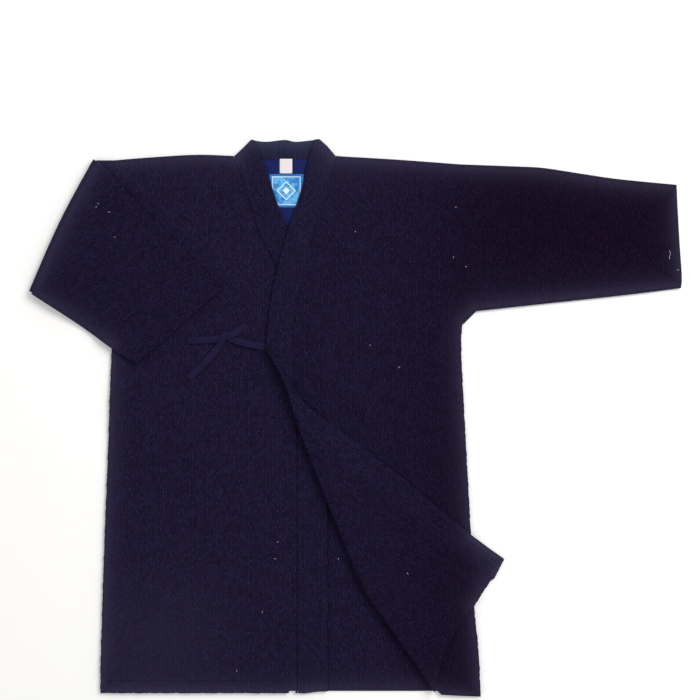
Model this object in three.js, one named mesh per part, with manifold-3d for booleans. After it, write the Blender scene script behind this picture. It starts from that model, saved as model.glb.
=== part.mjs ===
// A kendo jacket of heavy cotton, laid flat on its back. The left front lies over the right one, with its
// lower corner turned back along a diagonal crease. The left sleeve lies straight out and the right sleeve
// is folded in over the right front. Sizes are millimetres. While the pieces are drawn, x runs across from
// the centre of the back, towards the left sleeve, y runs up from the front hem and z is the height.
import * as THREE from 'three';
import { mergeVertices } from 'three/addons/utils/BufferGeometryUtils.js';
import Module from 'manifold-3d';

const wasm = await Module();
wasm.setup();

// Driving sizes of the cloth
const CLOTH = 2.2;
const BAND = 3.2;
const LINING = 1;
const LABEL = 0.8;
const TIE = 1.8;
const TIE_WIDTH = 11;
const SEAM_GAP = 0.3;
const LAY_GAP = 0.4;

// Driving sizes of the garment
const BACK_HEM = 0.6;
const FRONT_HEM = -2;
const HEM_ENDS = { right: -300.3, left: 308 };
const NECK_SEAM = 851;
const NECK_ENDS = { right: -84, left: 74 };
const LINING_ENDS = { right: -48, left: 46 };
const ARMHOLE = 279;
const UNDERARM = 589;
const WAIST = 547;
const BAND_INNER = 63.2;
const BAND_OUTER = 15.4;
const LABEL_BOX = { left: -30.4, right: 24.8, bottom: 775.5, top: 828.8 };
const TAG_BOX = { left: -13.3, right: 6.7, bottom: 829.9, top: 853.3 };
const HEM_NOTCH = { left: 1.6, right: 12, top: 3 };

// The turned-back corner and the folded sleeve stand up along their creases and settle away from them.
const FLAP_RISE = 3.6;
const FLAP_SETTLE = 60;
const SLEEVE_RISE = 3.2;
const SLEEVE_SETTLE = 55;
const FLAP_FLOOR = 2;

// The grid that every layer's heights are worked out on, and the steps along curved lines
const CELL = 28;
const GRID = { left: -448, bottom: -56, columns: 40, rows: 35 };
const LINE_STEP = 30;
const CREASE_STEP = 9;
const NECK_STEP = 12;
const TIE_STEP = 18;
const TOP = 60;

// Rolled edges
const RETURN = 7;
const TONGUE = 3;
const TONGUE_INSET = 0.3;
const ROLL_BENDS = 5;
const THIN_BENDS = 3;

const vec = (x, y) => new THREE.Vector2(x, y);
const points = (rows) => rows.map(([x, y]) => vec(x, y));

// A smooth line through the listed points.
function curve(rows, step = LINE_STEP) {
  const spline = new THREE.SplineCurve(points(rows));
  return spline.getSpacedPoints(Math.max(2, Math.ceil(spline.getLength() / step)));
}

// The direction at right angles to a line at one of its points, to the left of the way it runs.
function normalAt(line, k) {
  const ahead = line[Math.min(k + 1, line.length - 1)];
  const behind = line[Math.max(k - 1, 0)];
  const along = ahead.clone().sub(behind).normalize();
  return vec(-along.y, along.x);
}

// A line moved sideways, to the left of the way it runs, by one amount at its start and another at its end.
function beside(line, start, end = start) {
  return line.map((p, k) => {
    const amount = start + ((end - start) * k) / (line.length - 1);
    return p.clone().addScaledVector(normalAt(line, k), amount);
  });
}

const reversed = (line) => [...line].reverse();

// The photograph's lines. Each row is x, y.
const shoulderRight = curve([[-279, 851], [-224, 855.5], [-147, 860], [-87, 858]]);
const shoulderLeft = curve([[76, 858], [173, 852.3], [279, 844.5]]);
const neckTop = curve([[-59, 884], [-36, 881], [-5, 884], [13, 881], [50, 885]], NECK_STEP);
const collarTopRight = points([[-86.4, 857], [-68.8, 873.6], [-59, 884]]);
const collarTopLeft = points([[50, 885], [62.6, 873.8], [76, 858]]);
const sideRight = curve([[-279, 589], [-282.4, 549], [-287.7, 403], [-295, 211], [-300, 51], [-300.3, -1]]);
const sideLeft = curve([
  [279, 589], [277.4, 547], [282, 451], [292, 267], [297, 150], [305, 66], [308.5, -8],
]);
const edgeRight = [
  ...curve([
    [-54, 883], [-32.3, 830.7], [-15, 776.8], [24, 688], [44.8, 630], [57.6, 587], [BAND_INNER, WAIST],
  ]),
  vec(BAND_INNER, FRONT_HEM),
];
const seamRight = [
  ...curve([
    [-86.4, 857], [-63, 791], [-46.4, 737.6], [-19.2, 683], [-1.6, 635], [10.4, 592], [BAND_OUTER, WAIST],
  ]),
  vec(BAND_OUTER, FRONT_HEM),
];
const edgeLeft = curve([
  [42.4, 884], [31.4, 850], [24, 813], [0.8, 741], [-14.4, 690], [-28, 624], [-35.7, 549],
]);
const crease = curve(
  [[-35.7, 549], [-15.2, 512], [1.9, 470.7], [15.7, 423], [63.5, 300], [118, 170], [159, 108], [234.4, 0]],
  CREASE_STEP,
);
const flapHem = curve([[330.1, 180.3], [301.4, 144.6], [261.4, 86.1], [241.4, 38.9], [234.4, 0]]);
const cuffLeft = curve([[622, 811.8], [625.6, 731], [630.1, 667], [629.3, 646.4]]);
const sleeveTopLeft = curve([
  [279.4, 844.5], [371, 841], [413, 838.4], [480, 828], [531, 820.8], [622, 811.8],
]);
const sleeveBottomLeft = curve([
  [629.3, 646.4], [553.6, 636.8], [459, 626.4], [369.6, 616.8], [301.6, 608.6],
]);
const foldRight = curve([[-311.2, 851.8], [-364.8, 752], [-413.6, 641.6]]);
const stubBottom = points([[-301.6, 608], [-ARMHOLE - SEAM_GAP, UNDERARM]]);
const stubTop = points([[-303, 849.2], [-ARMHOLE - SEAM_GAP, 849]]);
const foldedTop = curve([[-311.2, 851.8], [-280, 824.8], [-224.5, 766.4], [-163.5, 705.4], [-105.6, 644.8]]);
const foldedCuff = points([[-105.6, 644.8], [-240.8, 522.7]]);
const foldedBottom = curve([[-240.8, 522.7], [-281.6, 549.6], [-339.2, 590.4], [-413.6, 641.6]]);
const tieLeftLine = curve(
  [[-36.2, 552.5], [-60.8, 555.2], [-96, 562], [-121.6, 539.2], [-158.4, 501.6]],
  TIE_STEP,
);
const tieRightLine = curve(
  [[-64.8, 587.2], [-80, 576.8], [-99, 566.5], [-124.8, 563.2], [-160.8, 562.4]],
  TIE_STEP,
);
const liningV = points([[40, 800], [14, 732], [-14, 732], [-38, 800]]);
const leftHemBend = vec(249.6, -5.3);

// Broad folds that the laid cloth keeps. Each row is a ridge: its two ends, its height and its half width.
const FRONT_RIGHT_RIDGES = [
  { from: vec(-270, 470), to: vec(-120, 380), height: 1.6, width: 60 },
  { from: vec(-240, 250), to: vec(-150, 60), height: 1.8, width: 70 },
  { from: vec(-150, 720), to: vec(-60, 640), height: 1.4, width: 50 },
];
const FRONT_LEFT_RIDGES = [
  { from: vec(240, 640), to: vec(90, 540), height: 2, width: 60 },
  { from: vec(150, 790), to: vec(220, 700), height: 1.5, width: 55 },
  { from: vec(250, 480), to: vec(200, 380), height: 1.5, width: 55 },
];
const SLEEVE_LEFT_RIDGES = [
  { from: vec(320, 650), to: vec(430, 760), height: 2.2, width: 55 },
  { from: vec(480, 700), to: vec(600, 720), height: 1.8, width: 50 },
];

// How far a point lies from the stretch between two others.
function distanceTo(p, from, to) {
  const along = to.clone().sub(from);
  const share = THREE.MathUtils.clamp(p.clone().sub(from).dot(along) / along.lengthSq(), 0, 1);
  return p.distanceTo(from.clone().addScaledVector(along, share));
}

// The height that a table of ridges adds at a point.
const ridges = (rows) => (p) => rows.reduce((height, row) => {
  const share = distanceTo(p, row.from, row.to) / row.width;
  return height + (share < 1 ? (row.height * (1 + Math.cos(Math.PI * share))) / 2 : 0);
}, 0);

// The height that a layer keeps along a crease and loses away from it.
const settling = (crease, rise, reach) => (p) => {
  const near = Math.min(...crease.slice(1).map((to, k) => distanceTo(p, crease[k], to)));
  return rise * Math.exp(-((near / reach) ** 2));
};

// The grid's nodes, row by row
const nodes = [];
for (let row = 0; row <= GRID.rows; row += 1) {
  for (let column = 0; column <= GRID.columns; column += 1) {
    nodes.push(vec(GRID.left + column * CELL, GRID.bottom + row * CELL));
  }
}
const nodeAt = (column, row) => row * (GRID.columns + 1) + column;

// A cell is two triangles, cut along the diagonal from its lower left corner.
function cellTriangles(column, row) {
  const a = nodeAt(column, row);
  const b = nodeAt(column + 1, row);
  const c = nodeAt(column + 1, row + 1);
  const d = nodeAt(column, row + 1);
  return [[a, b, c], [a, c, d]];
}

const turn = (a, b, c) => (b.x - a.x) * (c.y - a.y) - (b.y - a.y) * (c.x - a.x);
const crosses = (a, b, c, d) => turn(a, b, c) * turn(a, b, d) < 0 && turn(c, d, a) * turn(c, d, b) < 0;

function isInside(p, outline) {
  let inside = false;
  outline.forEach((a, k) => {
    const b = outline[(k + 1) % outline.length];
    const spans = a.y > p.y !== b.y > p.y;
    if (spans && p.x < a.x + ((p.y - a.y) * (b.x - a.x)) / (b.y - a.y)) inside = !inside;
  });
  return inside;
}

// Whether a triangle of the grid has any of an outline's cloth in it.
function isCovered(triangle, outline) {
  const corners = triangle.map((k) => nodes[k]);
  if (corners.some((p) => isInside(p, outline)) || outline.some((p) => isInside(p, corners))) return true;
  return outline.some((p, k) => {
    const q = outline[(k + 1) % outline.length];
    return corners.some((a, m) => crosses(a, corners[(m + 1) % 3], p, q));
  });
}

// One layer of cloth: its outline, and the heights of its two faces at the grid's nodes. It lies on the
// layers in over, never lower than lowest, and stands above them by rise.
function layer({ outline, thick, over = [], lowest = 0, rise = () => 0 }) {
  const covers = new Set();
  for (let row = 0; row < GRID.rows; row += 1) {
    for (let column = 0; column < GRID.columns; column += 1) {
      cellTriangles(column, row)
        .filter((triangle) => isCovered(triangle, outline))
        .forEach((triangle) => triangle.forEach((k) => covers.add(k)));
    }
  }
  const bottom = nodes.map((p, k) => {
    const carried = over.filter((below) => below.covers.has(k)).map((below) => below.top[k] + LAY_GAP);
    return Math.max(lowest, ...carried) + rise(p);
  });
  return { outline, covers, bottom, top: bottom.map((z) => z + thick) };
}

// The height of one face of a layer at any point.
function heightAt(face, p) {
  const across = (p.x - GRID.left) / CELL;
  const up = (p.y - GRID.bottom) / CELL;
  const column = Math.floor(across);
  const row = Math.floor(up);
  const u = across - column;
  const v = up - row;
  const [[a, b, c], [, , d]] = cellTriangles(column, row);
  if (u >= v) return face[a] + u * (face[b] - face[a]) + v * (face[c] - face[b]);
  return face[a] + v * (face[d] - face[a]) + u * (face[c] - face[d]);
}

// A closed solid of a three.js geometry's surface
function solidOf(geometry) {
  geometry.deleteAttribute('normal');
  geometry.deleteAttribute('uv');
  const merged = mergeVertices(geometry);
  return new wasm.Manifold(new wasm.Mesh({
    numProp: 3,
    vertProperties: merged.attributes.position.array,
    triVerts: Uint32Array.from(merged.index.array),
  }));
}

// A closed solid of listed corners and faces, turned so that its faces point out
function solidOfFaces(corners, faces) {
  const [a, b, c] = [new THREE.Vector3(), new THREE.Vector3(), new THREE.Vector3()];
  const volume = faces.reduce((sum, face) => {
    a.copy(corners[face[0]]);
    b.copy(corners[face[1]]);
    c.copy(corners[face[2]]);
    return sum + a.dot(b.cross(c));
  }, 0);
  const geometry = new THREE.BufferGeometry().setFromPoints(corners);
  geometry.setIndex((volume < 0 ? faces.map(([p, q, r]) => [p, r, q]) : faces).flat());
  return solidOf(geometry);
}

const prismOf = (outline, height) => (
  new THREE.ExtrudeGeometry(new THREE.Shape(outline), { depth: height, bevelEnabled: false }));

// The solid of a layer that lies on the floor
const flatClothOf = ({ outline, top }) => solidOf(prismOf(outline, top[0]));

// The solid of any other layer: the slab between its two faces, cut to its outline.
function clothOf({ outline, bottom, top }) {
  const box = new THREE.Box2().setFromPoints(outline);
  const first = {
    column: Math.floor((box.min.x - GRID.left) / CELL),
    row: Math.floor((box.min.y - GRID.bottom) / CELL),
  };
  const last = {
    column: Math.ceil((box.max.x - GRID.left) / CELL),
    row: Math.ceil((box.max.y - GRID.bottom) / CELL),
  };
  const all = nodes.length;
  const corners = [
    ...nodes.map((p, k) => new THREE.Vector3(p.x, p.y, bottom[k])),
    ...nodes.map((p, k) => new THREE.Vector3(p.x, p.y, top[k])),
  ];
  const faces = [];
  const wall = (p, q) => faces.push([p, q, q + all], [p, q + all, p + all]);
  for (let row = first.row; row < last.row; row += 1) {
    for (let column = first.column; column < last.column; column += 1) {
      cellTriangles(column, row).forEach(([p, q, r]) => {
        faces.push([p, r, q], [p + all, q + all, r + all]);
      });
    }
    wall(nodeAt(first.column, row + 1), nodeAt(first.column, row));
    wall(nodeAt(last.column, row), nodeAt(last.column, row + 1));
  }
  for (let column = first.column; column < last.column; column += 1) {
    wall(nodeAt(column, first.row), nodeAt(column + 1, first.row));
    wall(nodeAt(column + 1, last.row), nodeAt(column, last.row));
  }
  return solidOfFaces(corners, faces).intersect(solidOf(prismOf(outline, 2 * TOP).translate(0, 0, -TOP)));
}

// The rolled edge where cloth turns over along a line, from its lower layer to its upper one, to the left
// of the way the line runs. A layer given as null is only a short return that lies on the floor.
function rollOf(line, lower, upper, tongueAt = () => TONGUE, bends = ROLL_BENDS) {
  const sections = line.map((p, k) => {
    const out = normalAt(line, k);
    const low = lower ? [heightAt(lower.bottom, p), heightAt(lower.top, p)] : [0, CLOTH];
    const high = [heightAt(upper.bottom, p), heightAt(upper.top, p)];
    const tongue = tongueAt(k);
    const lowTongue = lower ? tongue : RETURN;
    const lowInset = lower ? TONGUE_INSET : 0;
    const arc = (from, to) => Array.from({ length: bends + 1 }, (_, m) => {
      const angle = Math.PI * (m / bends - 0.5) * Math.sign(to - from);
      const radius = Math.abs(to - from) / 2;
      return [radius * Math.cos(angle), (from + to) / 2 + radius * Math.sin(angle)];
    });
    const section = [
      [-lowTongue, low[0] + lowInset],
      ...arc(low[0], high[1]),
      [-tongue, high[1] - TONGUE_INSET],
      [-tongue, high[0] + TONGUE_INSET],
      ...arc(high[0], low[1]),
      [-lowTongue, low[1] - lowInset],
    ];
    return { p, out, section };
  });
  const size = sections[0].section.length;
  const corners = sections.flatMap(({ p, out, section }) => section.map(([away, z]) => (
    new THREE.Vector3(p.x + out.x * away, p.y + out.y * away, z))));
  const faces = [];
  for (let k = 0; k < sections.length - 1; k += 1) {
    for (let m = 0; m < size; m += 1) {
      const [a, b] = [k * size + m, k * size + ((m + 1) % size)];
      faces.push([a, b, b + size], [a, b + size, a + size]);
    }
  }
  [0, sections.length - 1].forEach((k) => {
    const flat = sections[k].section.map(([away, z]) => vec(away, z));
    THREE.ShapeUtils.triangulateShape(flat, []).forEach((cap) => {
      const face = cap.map((m) => k * size + m);
      faces.push(k === 0 ? face.reverse() : face);
    });
  });
  return solidOfFaces(corners, faces);
}

const joined = (solids) => solids.reduce((all, one) => all.add(one));

// Near the slanting seam that crosses the crease a roll's tongue stays short, to keep out of the next piece.
const TONGUE_SHARE = 0.12;
const shortNear = (seam, line) => (k) => Math.min(TONGUE, TONGUE_SHARE * line[k].distanceTo(seam));

// How far a fold's line lies in from the edge that shows: the radius of the cloth that rolls round it.
const THIN_FOLD = (2 * CLOTH + LAY_GAP) / 2;
const FLAP_FOLD = (2 * CLOTH + LAY_GAP + FLAP_RISE) / 2;
const SLEEVE_FOLD = (4 * CLOTH + 3 * LAY_GAP + SLEEVE_RISE) / 2;
const LAID = CLOTH + LAY_GAP;
const BACK_SHORT = THIN_FOLD + RETURN + SEAM_GAP;

// Lines of the folds and the seams, set in from what shows
const shoulderRightFold = beside(shoulderRight, -THIN_FOLD);
const shoulderLeftFold = beside(shoulderLeft, -THIN_FOLD);
const sleeveTopFold = beside(sleeveTopLeft, -THIN_FOLD);
const flapFold = beside(crease, FLAP_FOLD);
const flapEdge = curve([
  flapFold[0].toArray(), [16, 477.6], [49.8, 443.4], [138.7, 378.4], [293, 252], [346.4, 212.5],
]);
const sleeveFold = beside(foldRight, SLEEVE_FOLD);
const foldedTopFold = beside(foldedTop, -THIN_FOLD).slice(1);

// The band's outer seam meets the crease at one of its steps. The panel's and the band's folds part there.
const SEAM_STEP = 14;
const CORNER_SHARE = 0.35;
const crossing = flapFold[SEAM_STEP];
const cornerTowards = (next) => crossing.clone().lerp(next, CORNER_SHARE);
const bandFold = flapFold.slice(0, SEAM_STEP);
const bandCorner = cornerTowards(flapFold[SEAM_STEP - 1]);
const panelFold = [cornerTowards(flapFold[SEAM_STEP + 1]), ...flapFold.slice(SEAM_STEP + 1)];
const seamLeft = curve([
  [76, 858], [62.4, 800], [42.4, 736], [22.4, 654], [9.6, 587], [8, 520], crossing.toArray(),
]);
const flapSeam = curve([crossing.toArray(), [52.5, 389.4], [115.5, 345.8], [268.9, 223.8], [330.1, 180.3]]);

// The layers, from the floor up
const back = layer({
  outline: [
    ...beside(shoulderRight, -BACK_SHORT),
    vec(NECK_ENDS.right, NECK_SEAM - SEAM_GAP),
    vec(NECK_ENDS.left, NECK_SEAM - SEAM_GAP),
    ...beside(shoulderLeft, -BACK_SHORT),
    ...sideLeft.slice(0, -1),
    vec(HEM_ENDS.left, BACK_HEM),
    vec(HEM_ENDS.right, BACK_HEM),
    ...reversed(sideRight).slice(1),
  ],
  thick: CLOTH,
});
const collarBack = layer({
  outline: [
    ...collarTopRight,
    ...neckTop.slice(1),
    ...collarTopLeft.slice(1),
    vec(NECK_ENDS.left, NECK_SEAM),
    vec(NECK_ENDS.right, NECK_SEAM),
  ],
  thick: BAND,
});
const lining = layer({
  outline: [
    vec(LINING_ENDS.right, NECK_SEAM - SEAM_GAP),
    vec(LINING_ENDS.left, NECK_SEAM - SEAM_GAP),
    ...liningV,
  ],
  thick: LINING,
  over: [back],
});
const boxOutline = ({ left, right, bottom, top }) => (
  points([[left, bottom], [right, bottom], [right, top], [left, top]]));
const wovenLabel = layer({ outline: boxOutline(LABEL_BOX), thick: LABEL, over: [back, lining] });
const sizeTag = layer({ outline: boxOutline(TAG_BOX), thick: LABEL, over: [back, lining, collarBack] });
const underFronts = [back, collarBack, lining, wovenLabel, sizeTag];

const frontRight = layer({
  outline: [
    ...shoulderRightFold,
    ...beside(seamRight, -SEAM_GAP).slice(1),
    ...points([[HEM_NOTCH.right, FRONT_HEM], [HEM_NOTCH.right, HEM_NOTCH.top]]),
    ...points([[HEM_NOTCH.left, HEM_NOTCH.top], [HEM_NOTCH.left, FRONT_HEM]]),
    ...reversed(sideRight),
  ],
  thick: CLOTH,
  over: underFronts,
  lowest: LAID,
  rise: ridges(FRONT_RIGHT_RIDGES),
});
const collarRight = layer({
  outline: [...collarTopRight, ...edgeRight, ...reversed(seamRight)],
  thick: BAND,
  over: underFronts,
  lowest: LAID,
});
const underLeft = [...underFronts, frontRight, collarRight];

const frontLeft = layer({
  outline: [
    ...shoulderLeftFold,
    ...sideLeft,
    leftHemBend,
    ...reversed(panelFold),
    ...reversed(beside(seamLeft, SEAM_GAP)).slice(1, -1),
  ],
  thick: CLOTH,
  over: underLeft,
  lowest: LAID,
  rise: ridges(FRONT_LEFT_RIDGES),
});
const collarLeft = layer({
  outline: [...collarTopLeft, ...seamLeft.slice(1), ...reversed(bandFold), ...reversed(edgeLeft).slice(1)],
  thick: BAND,
  over: underLeft,
  lowest: LAID,
});
const underFlap = [...underLeft, frontLeft, collarLeft];
const flapRise = settling(crease, FLAP_RISE, FLAP_SETTLE);
const flap = layer({
  outline: [
    ...panelFold,
    ...reversed(flapHem).slice(1),
    ...reversed(beside(flapSeam, -SEAM_GAP)).slice(1, -1),
  ],
  thick: CLOTH,
  over: underFlap,
  lowest: FLAP_FLOOR,
  rise: flapRise,
});
const collarFlap = layer({
  outline: [...bandFold, ...flapSeam, ...reversed(flapEdge).slice(0, -1)],
  thick: BAND,
  over: underFlap,
  lowest: FLAP_FLOOR,
  rise: flapRise,
});

const sleeveLeftOutline = [
  ...sleeveTopFold,
  ...cuffLeft.slice(1),
  ...sleeveBottomLeft.slice(1),
  vec(ARMHOLE + SEAM_GAP, UNDERARM),
];
const sleeveLeftBack = layer({ outline: sleeveLeftOutline, thick: CLOTH });
const sleeveLeftFront = layer({
  outline: sleeveLeftOutline,
  thick: CLOTH,
  over: [sleeveLeftBack],
  lowest: LAID,
  rise: ridges(SLEEVE_LEFT_RIDGES),
});

const stubOutline = [...reversed(stubTop), ...sleeveFold, ...stubBottom];
const stubBack = layer({ outline: stubOutline, thick: CLOTH });
const stubFront = layer({ outline: stubOutline, thick: CLOTH, over: [stubBack], lowest: LAID });
const foldedOutline = [
  ...foldedTopFold,
  ...foldedCuff.slice(1),
  ...foldedBottom.slice(1, -1),
  ...reversed(sleeveFold),
];
const foldedFront = layer({
  outline: foldedOutline,
  thick: CLOTH,
  over: [...underLeft, stubFront],
  lowest: 2 * LAID,
  rise: settling(foldRight, SLEEVE_RISE, SLEEVE_SETTLE),
});
const foldedBack = layer({ outline: foldedOutline, thick: CLOTH, over: [foldedFront], lowest: 3 * LAID });

const strip = (line, width) => [...beside(line, width / 2), ...reversed(beside(line, -width / 2))];
const tieLeft = layer({
  outline: strip(tieLeftLine, TIE_WIDTH),
  thick: TIE,
  over: [frontRight, collarRight],
  lowest: LAID,
});
const tieRight = layer({
  outline: strip(tieRightLine, TIE_WIDTH),
  thick: TIE,
  over: [frontRight, collarRight, tieLeft],
  lowest: LAID,
});

// The rolled edges, each run so that the open side is on its left
const panelFoldRun = reversed(panelFold);
const bandFoldRun = [bandCorner, ...reversed(bandFold)];
const sleeveFoldRun = reversed(sleeveFold);
const shoulderRightRoll = rollOf(shoulderRightFold, null, frontRight, () => TONGUE, THIN_BENDS);
const shoulderLeftRoll = rollOf(shoulderLeftFold, null, frontLeft, () => TONGUE, THIN_BENDS);
const sleeveTopRoll = rollOf(sleeveTopFold, sleeveLeftBack, sleeveLeftFront, () => TONGUE, THIN_BENDS);
const creaseRoll = rollOf(panelFoldRun, frontLeft, flap, shortNear(crossing, panelFoldRun));
const bandRoll = rollOf(bandFoldRun, collarLeft, collarFlap, shortNear(crossing, bandFoldRun));
const innerSleeveRoll = rollOf(sleeveFoldRun, stubFront, foldedFront);
const outerSleeveRoll = rollOf(sleeveFoldRun, stubBack, foldedBack);
const foldedTopRoll = rollOf(foldedTopFold, foldedFront, foldedBack, () => TONGUE, THIN_BENDS);
const stubTopRoll = rollOf(stubTop, stubBack, stubFront, () => TONGUE, THIN_BENDS);

// Finishes from the photograph: dark purple navy cotton, paler where the weave opens at the band and hems
const cotton = { color: 0x1c1634, roughness: 0.95, metalness: 0 };
const bandCotton = { color: 0x1f1d36, roughness: 0.95, metalness: 0 };
const tieCotton = { color: 0x221c3c, roughness: 0.9, metalness: 0 };
const blueLining = { color: 0x222d5e, roughness: 0.85, metalness: 0 };
const wovenBlue = { color: 0x7bbbe8, roughness: 0.6, metalness: 0 };
const whiteSatin = { color: 0xeee8ea, roughness: 0.5, metalness: 0 };

const jacket = new THREE.Group();

function addPiece(name, solid, finish) {
  const { vertProperties, triVerts } = solid.getMesh();
  const geometry = new THREE.BufferGeometry();
  geometry.setAttribute('position', new THREE.BufferAttribute(vertProperties, 3));
  geometry.setIndex(new THREE.BufferAttribute(triVerts, 1));
  geometry.computeVertexNormals();
  const mesh = new THREE.Mesh(geometry, new THREE.MeshStandardMaterial(finish));
  mesh.name = name;
  jacket.add(mesh);
}

addPiece('back', flatClothOf(back), cotton);
addPiece('collar_back', flatClothOf(collarBack), bandCotton);
addPiece('yoke_lining', clothOf(lining), blueLining);
addPiece('woven_label', clothOf(wovenLabel), wovenBlue);
addPiece('size_tag', clothOf(sizeTag), whiteSatin);
addPiece('front_right', joined([clothOf(frontRight), shoulderRightRoll]), cotton);
addPiece('collar_right', clothOf(collarRight), bandCotton);
addPiece('front_left', joined([clothOf(frontLeft), clothOf(flap), creaseRoll, shoulderLeftRoll]), cotton);
addPiece('collar_left', joined([clothOf(collarLeft), clothOf(collarFlap), bandRoll]), bandCotton);
addPiece('sleeve_left', joined([
  flatClothOf(sleeveLeftBack),
  clothOf(sleeveLeftFront),
  sleeveTopRoll,
]), cotton);
addPiece('sleeve_right', joined([
  flatClothOf(stubBack),
  clothOf(stubFront),
  clothOf(foldedFront),
  clothOf(foldedBack),
  innerSleeveRoll,
  outerSleeveRoll,
  foldedTopRoll,
  stubTopRoll,
]), cotton);
addPiece('tie_left', clothOf(tieLeft), tieCotton);
addPiece('tie_right', clothOf(tieRight), tieCotton);

// The origin is under the middle of the laid garment's box.
const middle = new THREE.Box3().setFromObject(jacket).getCenter(new THREE.Vector3());
jacket.position.set(-middle.x, -middle.y, 0);

export default jacket;
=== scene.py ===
import math
import random

import bmesh
import bpy
import numpy as np
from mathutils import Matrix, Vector
from mathutils.geometry import delaunay_2d_cdt
from mathutils.kdtree import KDTree


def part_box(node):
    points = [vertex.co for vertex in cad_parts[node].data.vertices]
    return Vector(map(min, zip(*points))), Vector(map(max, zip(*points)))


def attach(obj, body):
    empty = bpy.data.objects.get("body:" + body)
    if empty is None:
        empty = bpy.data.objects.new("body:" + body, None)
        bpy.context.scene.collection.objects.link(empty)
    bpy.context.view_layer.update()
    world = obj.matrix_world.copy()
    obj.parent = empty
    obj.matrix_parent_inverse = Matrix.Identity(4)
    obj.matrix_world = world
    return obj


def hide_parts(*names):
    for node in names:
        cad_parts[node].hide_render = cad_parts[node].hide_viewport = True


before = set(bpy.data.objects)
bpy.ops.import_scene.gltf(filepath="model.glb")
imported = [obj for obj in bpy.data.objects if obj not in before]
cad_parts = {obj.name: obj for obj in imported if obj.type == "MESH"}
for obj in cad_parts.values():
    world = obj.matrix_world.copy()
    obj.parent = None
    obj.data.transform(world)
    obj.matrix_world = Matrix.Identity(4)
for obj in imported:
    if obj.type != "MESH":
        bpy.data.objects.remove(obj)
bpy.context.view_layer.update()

# The jacket lies on a plain pale table under soft studio light, seen from straight above. Its places are
# counted in millimetres: x from the middle of the back towards the left sleeve, y up from the front hem
# and z from the table. The lower right corner of the neck band ties them to the frame. The table's and
# the lamp's own sizes are in metres.
NECK_CORNER = (-86.4, 851.0)
PICTURE_CENTRE = (99.2, 547.2)
PICTURE_WIDTH = 1120.0
CLOTH_HEIGHT = 6.0
LENS = 70.0
SENSOR = 36.0
TABLE_HALF = 6.0
TABLE_DROP = 0.0003
TABLE_WHITE = 0xF8F7F6
SKY_WHITE = 0xFFFFFF
SKY_STRENGTH = 0.75
LAMP_PLACE = (1500.0, 1900.0, 2300.0)
LAMP_SIDE = 1.5
LAMP_WATTS = 55.0

neck_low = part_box("collar_back")[0]
to_row = np.array([neck_low.x * 1000 - NECK_CORNER[0], neck_low.y * 1000 - NECK_CORNER[1], 0.0])


def in_row(points):
    """Places of the garment, in millimetres, as points of the row frame, in metres."""
    return (np.asarray(points, float) + to_row) / 1000


def linear(colour):
    """An sRGB hex colour as the linear colour and alpha that a shader takes."""
    channels = [(colour >> shift & 255) / 255 for shift in (16, 8, 0)]
    return (*[c / 12.92 if c <= 0.04045 else ((c + 0.055) / 1.055) ** 2.4 for c in channels], 1.0)


def add_node(tree, kind, inputs=None, **settings):
    """Adds a node to a material. An input given as a socket is linked, and any other is set."""
    node = tree.nodes.new("ShaderNode" + kind)
    for name, value in settings.items():
        setattr(node, name, value)
    for name, value in (inputs or {}).items():
        if isinstance(value, bpy.types.NodeSocket):
            tree.links.new(value, node.inputs[name])
        else:
            node.inputs[name].default_value = value
    return node


def new_material(name):
    """A material with no nodes yet, and its node tree."""
    material = bpy.data.materials.new(name)
    material.use_nodes = True
    material.node_tree.nodes.clear()
    return material, material.node_tree


# Painted board: matt and even, with no grain to see.
board, tree = new_material("painted_board")
shader = add_node(tree, "BsdfPrincipled", {"Base Color": linear(TABLE_WHITE), "Roughness": 0.9})
add_node(tree, "OutputMaterial", {"Surface": shader.outputs["BSDF"]})
table_mesh = bpy.data.meshes.new("table")
corners = [(x * TABLE_HALF, y * TABLE_HALF, -TABLE_DROP) for x, y in ((-1, -1), (1, -1), (1, 1), (-1, 1))]
table_mesh.from_pydata(corners, [], [(0, 1, 2, 3)])
table_mesh.materials.append(board)
table = bpy.data.objects.new("table", table_mesh)
bpy.context.scene.collection.objects.link(table)

world = bpy.data.worlds.new("studio")
bpy.context.scene.world = world
world.use_nodes = True
world.node_tree.nodes.clear()
sky = add_node(world.node_tree, "Background", {"Color": linear(SKY_WHITE), "Strength": SKY_STRENGTH})
add_node(world.node_tree, "OutputWorld", {"Surface": sky.outputs["Background"]})

lamp_data = bpy.data.lights.new("softbox", "AREA")
lamp_data.size = LAMP_SIDE
lamp_data.energy = LAMP_WATTS
lamp = bpy.data.objects.new("softbox", lamp_data)
bpy.context.scene.collection.objects.link(lamp)
lamp.location = in_row(LAMP_PLACE)
lamp_target = Vector(in_row((*PICTURE_CENTRE, 0.0)))
lamp.rotation_euler = (lamp.location - lamp_target).to_track_quat("Z", "Y").to_euler()

camera_data = bpy.data.cameras.new("camera")
camera_data.lens = LENS
camera_data.sensor_width = SENSOR
camera = bpy.data.objects.new("camera", camera_data)
bpy.context.scene.collection.objects.link(camera)
camera.location = in_row((*PICTURE_CENTRE, CLOTH_HEIGHT + PICTURE_WIDTH * LENS / SENSOR))
bpy.context.scene.camera = camera
bpy.context.scene.view_settings.view_transform = "Standard"

# The back is one panel of heavy cotton woven with raised rice grains, and it lies flat on the table. It is
# cut a little shorter than the fronts, its edges are turned and sewn, and the fronts' shoulders reach
# round to it.
CLOTH = 2.2
SEAM_GAP = 0.1
LAY_GAP = 0.4
ARMHOLE = 279.0
UNDERARM = 589.0
NECK_SEAM = 851.0
BACK_HEM = 0.6
THIN_FOLD = CLOTH + LAY_GAP / 2
SHOULDER_RETURN = 7.0
BACK_SHORT = THIN_FOLD + SHOULDER_RETURN + SEAM_GAP

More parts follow.
